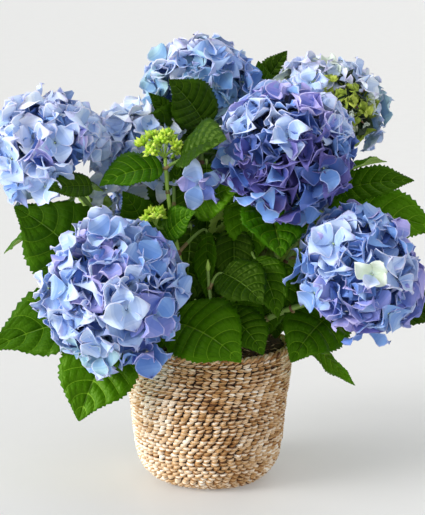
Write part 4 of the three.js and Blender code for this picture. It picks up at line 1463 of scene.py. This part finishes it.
def weave_ends():
    """The underside, row within row, the stout stitches over the rim, and the near-black shell behind them,
    painted shade in the gaps.
    """
    heap = Heap()
    random = seeded(61)
    radius = PROFILE[0][0] - 4
    row = 0
    while radius > 6:
        stitches = max(5, round(2 * math.pi * radius / BASE_PITCH))
        for i in range(stitches):
            turn = 2 * math.pi * (i + 0.2 * random()) / stitches + row
            out, along = round_basket(turn)
            size = (min(BASE_STITCH[0], 2.6 * radius), *BASE_STITCH[1:])
            slant = BASE_SLANT if row % 2 else -BASE_SLANT
            add_stitch(heap, out * radius + UP * BASE_LEVEL, along, -UP, size, slant,
                       straw_tone(turn, 0, random), random)
        radius -= BASE_ROW_WIDTH
        row += 1
    radius, z = PROFILE[-1]
    for i in range(RIM_STITCHES):
        turn = 2 * math.pi * (i + 0.2 * random()) / RIM_STITCHES
        out, along = round_basket(turn)
        for shift, slant in RIM_ROWS:
            place = out * (radius + shift) + UP * (z + 0.8 * (random() - 0.5))
            outward = unit(UP + 0.3 * out * np.sign(shift + 3))
            add_stitch(heap, place, along, outward, RIM_STITCH, slant, straw_tone(turn, z, random), random)
    under, over = SHELL_FLOOR
    shell = [(0, under), (PROFILE[0][0] - 2, under)]
    outer = PROFILE[(PROFILE[:, 1] > 6)]
    shell += [(r - SHELL_INSET, h) for r, h in outer if h < z - 1]
    shell += [(r - BASKET_WALL, h) for r, h in outer[::-1] if h < z - 1 and h > 12]
    shell += [(PROFILE[0][0], over), (0, over)]
    turn = 2 * math.pi * np.arange(SHELL_SIDES) / SHELL_SIDES
    ring = np.stack([np.cos(turn), np.sin(turn)], axis=1)
    points = [np.concatenate([ring * max(r, 0.05), np.full((SHELL_SIDES, 1), h)], axis=1) for r, h in shell]
    heap.add(points, bands(len(shell), SHELL_SIDES), BACKING_SHADE)
    settled(heap, "woven_rim_and_base")


weave_wall()
weave_ends()


# ---------------------------------------------------------------- soil
# Dark, crumbly compost with chips of bark and pale fibre in it
SOIL_FINISH = [grained("compost", (1, 1, 1), {"Scale": 260, "Detail": 6}, [(0.35, "1A110A"), (0.7, "5A4028")],
                       {"Strength": 0.8, "Distance": 0.001}, 0.95)]
SOIL_FINISH += [finish(kind, code) for kind, code in (
    ("bark_chip_dark", "3A2818"), ("bark_chip", "6B4C30"), ("fibre", "8F7550"), ("fibre_pale", "C4B088"))]
# The mound's rings: radius and height over the soil's level, and on under the rim how far inside the wall
MOUND_TOP = [(0.05, 6), (12, 5.6), (24, 4.9), (36, 3), (48, 0), (58, -3), (66, -6)]
MOUND_EDGE = [(8, -12), (3, -18), (0, -24), (2, -44), (12, -46)]
MOUND_SIDES = 72
MOUND_UNEVEN_TO = 9
CHIPS = 420


def soil_mound():
    """The compost, lumpy on top and flat under the rim's level, strewn with chips and fibres."""
    heap = Heap()
    random = seeded(80)
    rim = float(np.interp(SOIL_EDGE, PROFILE[:, 1], PROFILE[:, 0])) - BASKET_WALL - GAP
    sides = MOUND_SIDES
    rows = MOUND_TOP + [(rim - inset, rise) for inset, rise in MOUND_EDGE] + [(0.05, MOUND_EDGE[-1][1])]
    points = []
    for index, (radius, rise) in enumerate(rows):
        for angle in 2 * math.pi * np.arange(sides) / sides:
            lump = 0
            if 0 < index < MOUND_UNEVEN_TO:
                lump = 2.2 * (random() - 0.5) + 1.4 * math.sin(5 * angle + index)
            z = SOIL_TOP + rise + lump
            points.append((radius * math.cos(angle) + float(lean(z)), radius * math.sin(angle), z))
    heap.add(points, np.array(bands(len(rows), sides))[:, [1, 0, 3, 2]], 0)
    level = array(rows[:10])
    for _ in range(CHIPS):
        angle, out = 6.28 * random(), (rim - 4) * math.sqrt(random())
        z = SOIL_TOP + np.interp(out, level[:, 0], level[:, 1]) + 1.6
        middle = array((out * math.cos(angle) + float(lean(z)), out * math.sin(angle), z))
        way = heading(360 * random(), 50 * (random() - 0.4)) * (2 + 5 * random())
        bow = array((random() - 0.5, random() - 0.5, random())) * 2
        chips, quads = tube((middle - way, middle + bow, middle + way), (0.2, 0.55 + 0.4 * random(), 0.2), 4)
        heap.add(chips, quads, 1 + int(random() * 4))
    return heap.piece("compost_mound", SOIL_FINISH)


mound = soil_mound()
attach(mound, "root")
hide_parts("soil")


# ---------------------------------------------------------------- floor, light and camera
# Each light: its name, where it shines from, how broad and how strong it is, and its colour
LIGHTS = (
    ("key", (-2.3, -1.1, 1.4), 0.5, 1.8, "FFFDFA"),
    ("side", (-2.6, -0.7, 0.3), 0.5, 1.8, "FFFFFF"),
    ("fill", (2.4, -1.2, 0.7), 0.9, 0.35, "FFFFFF"),
    ("soft", (-1.2, -1.2, 2.2), 1.9, 1.0, "FFFFFF"),
    ("rim", (0.9, 1.6, 1.5), 0.7, 0.5, "FFFFFF"),
)
LOOK_AT = (0.005, 0, 0.266)
LOOK_DOWN = 11
LOOK_FROM = 2


def aimed(name, data, place, target):
    """A light or the camera at its place, turned towards its target."""
    made = bpy.data.objects.new(name, data)
    made.location = place
    made.rotation_mode = "QUATERNION"
    made.rotation_quaternion = (target - made.location).to_track_quat("-Z", "Y")
    bpy.context.scene.collection.objects.link(made)
    return made


def lay_floor():
    """A wide pale floor that glows a little."""
    bpy.ops.object.select_all(action="DESELECT")
    bpy.ops.mesh.primitive_plane_add(size=400)
    floor = bpy.context.object
    floor.name = "floor"
    pale = finish("floor_pale", "CBCBC9", (0.5, 0.6), 20)
    settle(pale.node_tree.nodes["Principled BSDF"],
           {"Emission Color": linear("FFFFFD"), "Emission Strength": 0.2})
    floor.data.materials.append(pale)


def hang_sky(scene):
    """A sky that is pale at the horizon, dim just over it and half bright overhead."""
    scene.world = bpy.data.worlds.new("studio")
    scene.world.use_nodes = True
    tree = scene.world.node_tree
    place = tree.nodes.new("ShaderNodeTexCoord")
    split = tree.nodes.new("ShaderNodeSeparateXYZ")
    sky = tree.nodes.new("ShaderNodeValToRGB")
    stops = sky.color_ramp.elements
    stops[0].position, stops[0].color = 0.15, (0.78, 0.79, 0.80, 1)
    stops[1].position, stops[1].color = 1.0, (0.46, 0.47, 0.49, 1)
    stops.new(0.24).color = (0.17, 0.175, 0.185, 1)
    backdrop = settle(tree.nodes["Background"], {"Strength": 1})
    tree.links.new(place.outputs["Generated"], split.inputs["Vector"])
    tree.links.new(split.outputs["Z"], sky.inputs["Fac"])
    tree.links.new(sky.outputs["Color"], backdrop.inputs["Color"])


def studio():
    """A pale floor under a soft sky, five broad lights, and the camera at the front."""
    scene = bpy.context.scene
    lay_floor()
    hang_sky(scene)
    for name, place, size, power, tone in LIGHTS:
        lamp = bpy.data.lights.new(name, "SUN")
        lamp.angle = size
        lamp.energy = power
        lamp.color = linear(tone)[:3]
        aimed(name, lamp, place, Vector((0, 0, 0)))
    camera = bpy.data.cameras.new("camera")
    camera.lens = 118.5
    camera.sensor_width = 36
    target, rise = Vector(LOOK_AT), math.radians(LOOK_DOWN)
    place = target + Vector((0, -math.cos(rise), math.sin(rise))) * LOOK_FROM
    scene.camera = aimed("camera", camera, place, target)
    scene.view_settings.view_transform = "Standard"


studio()
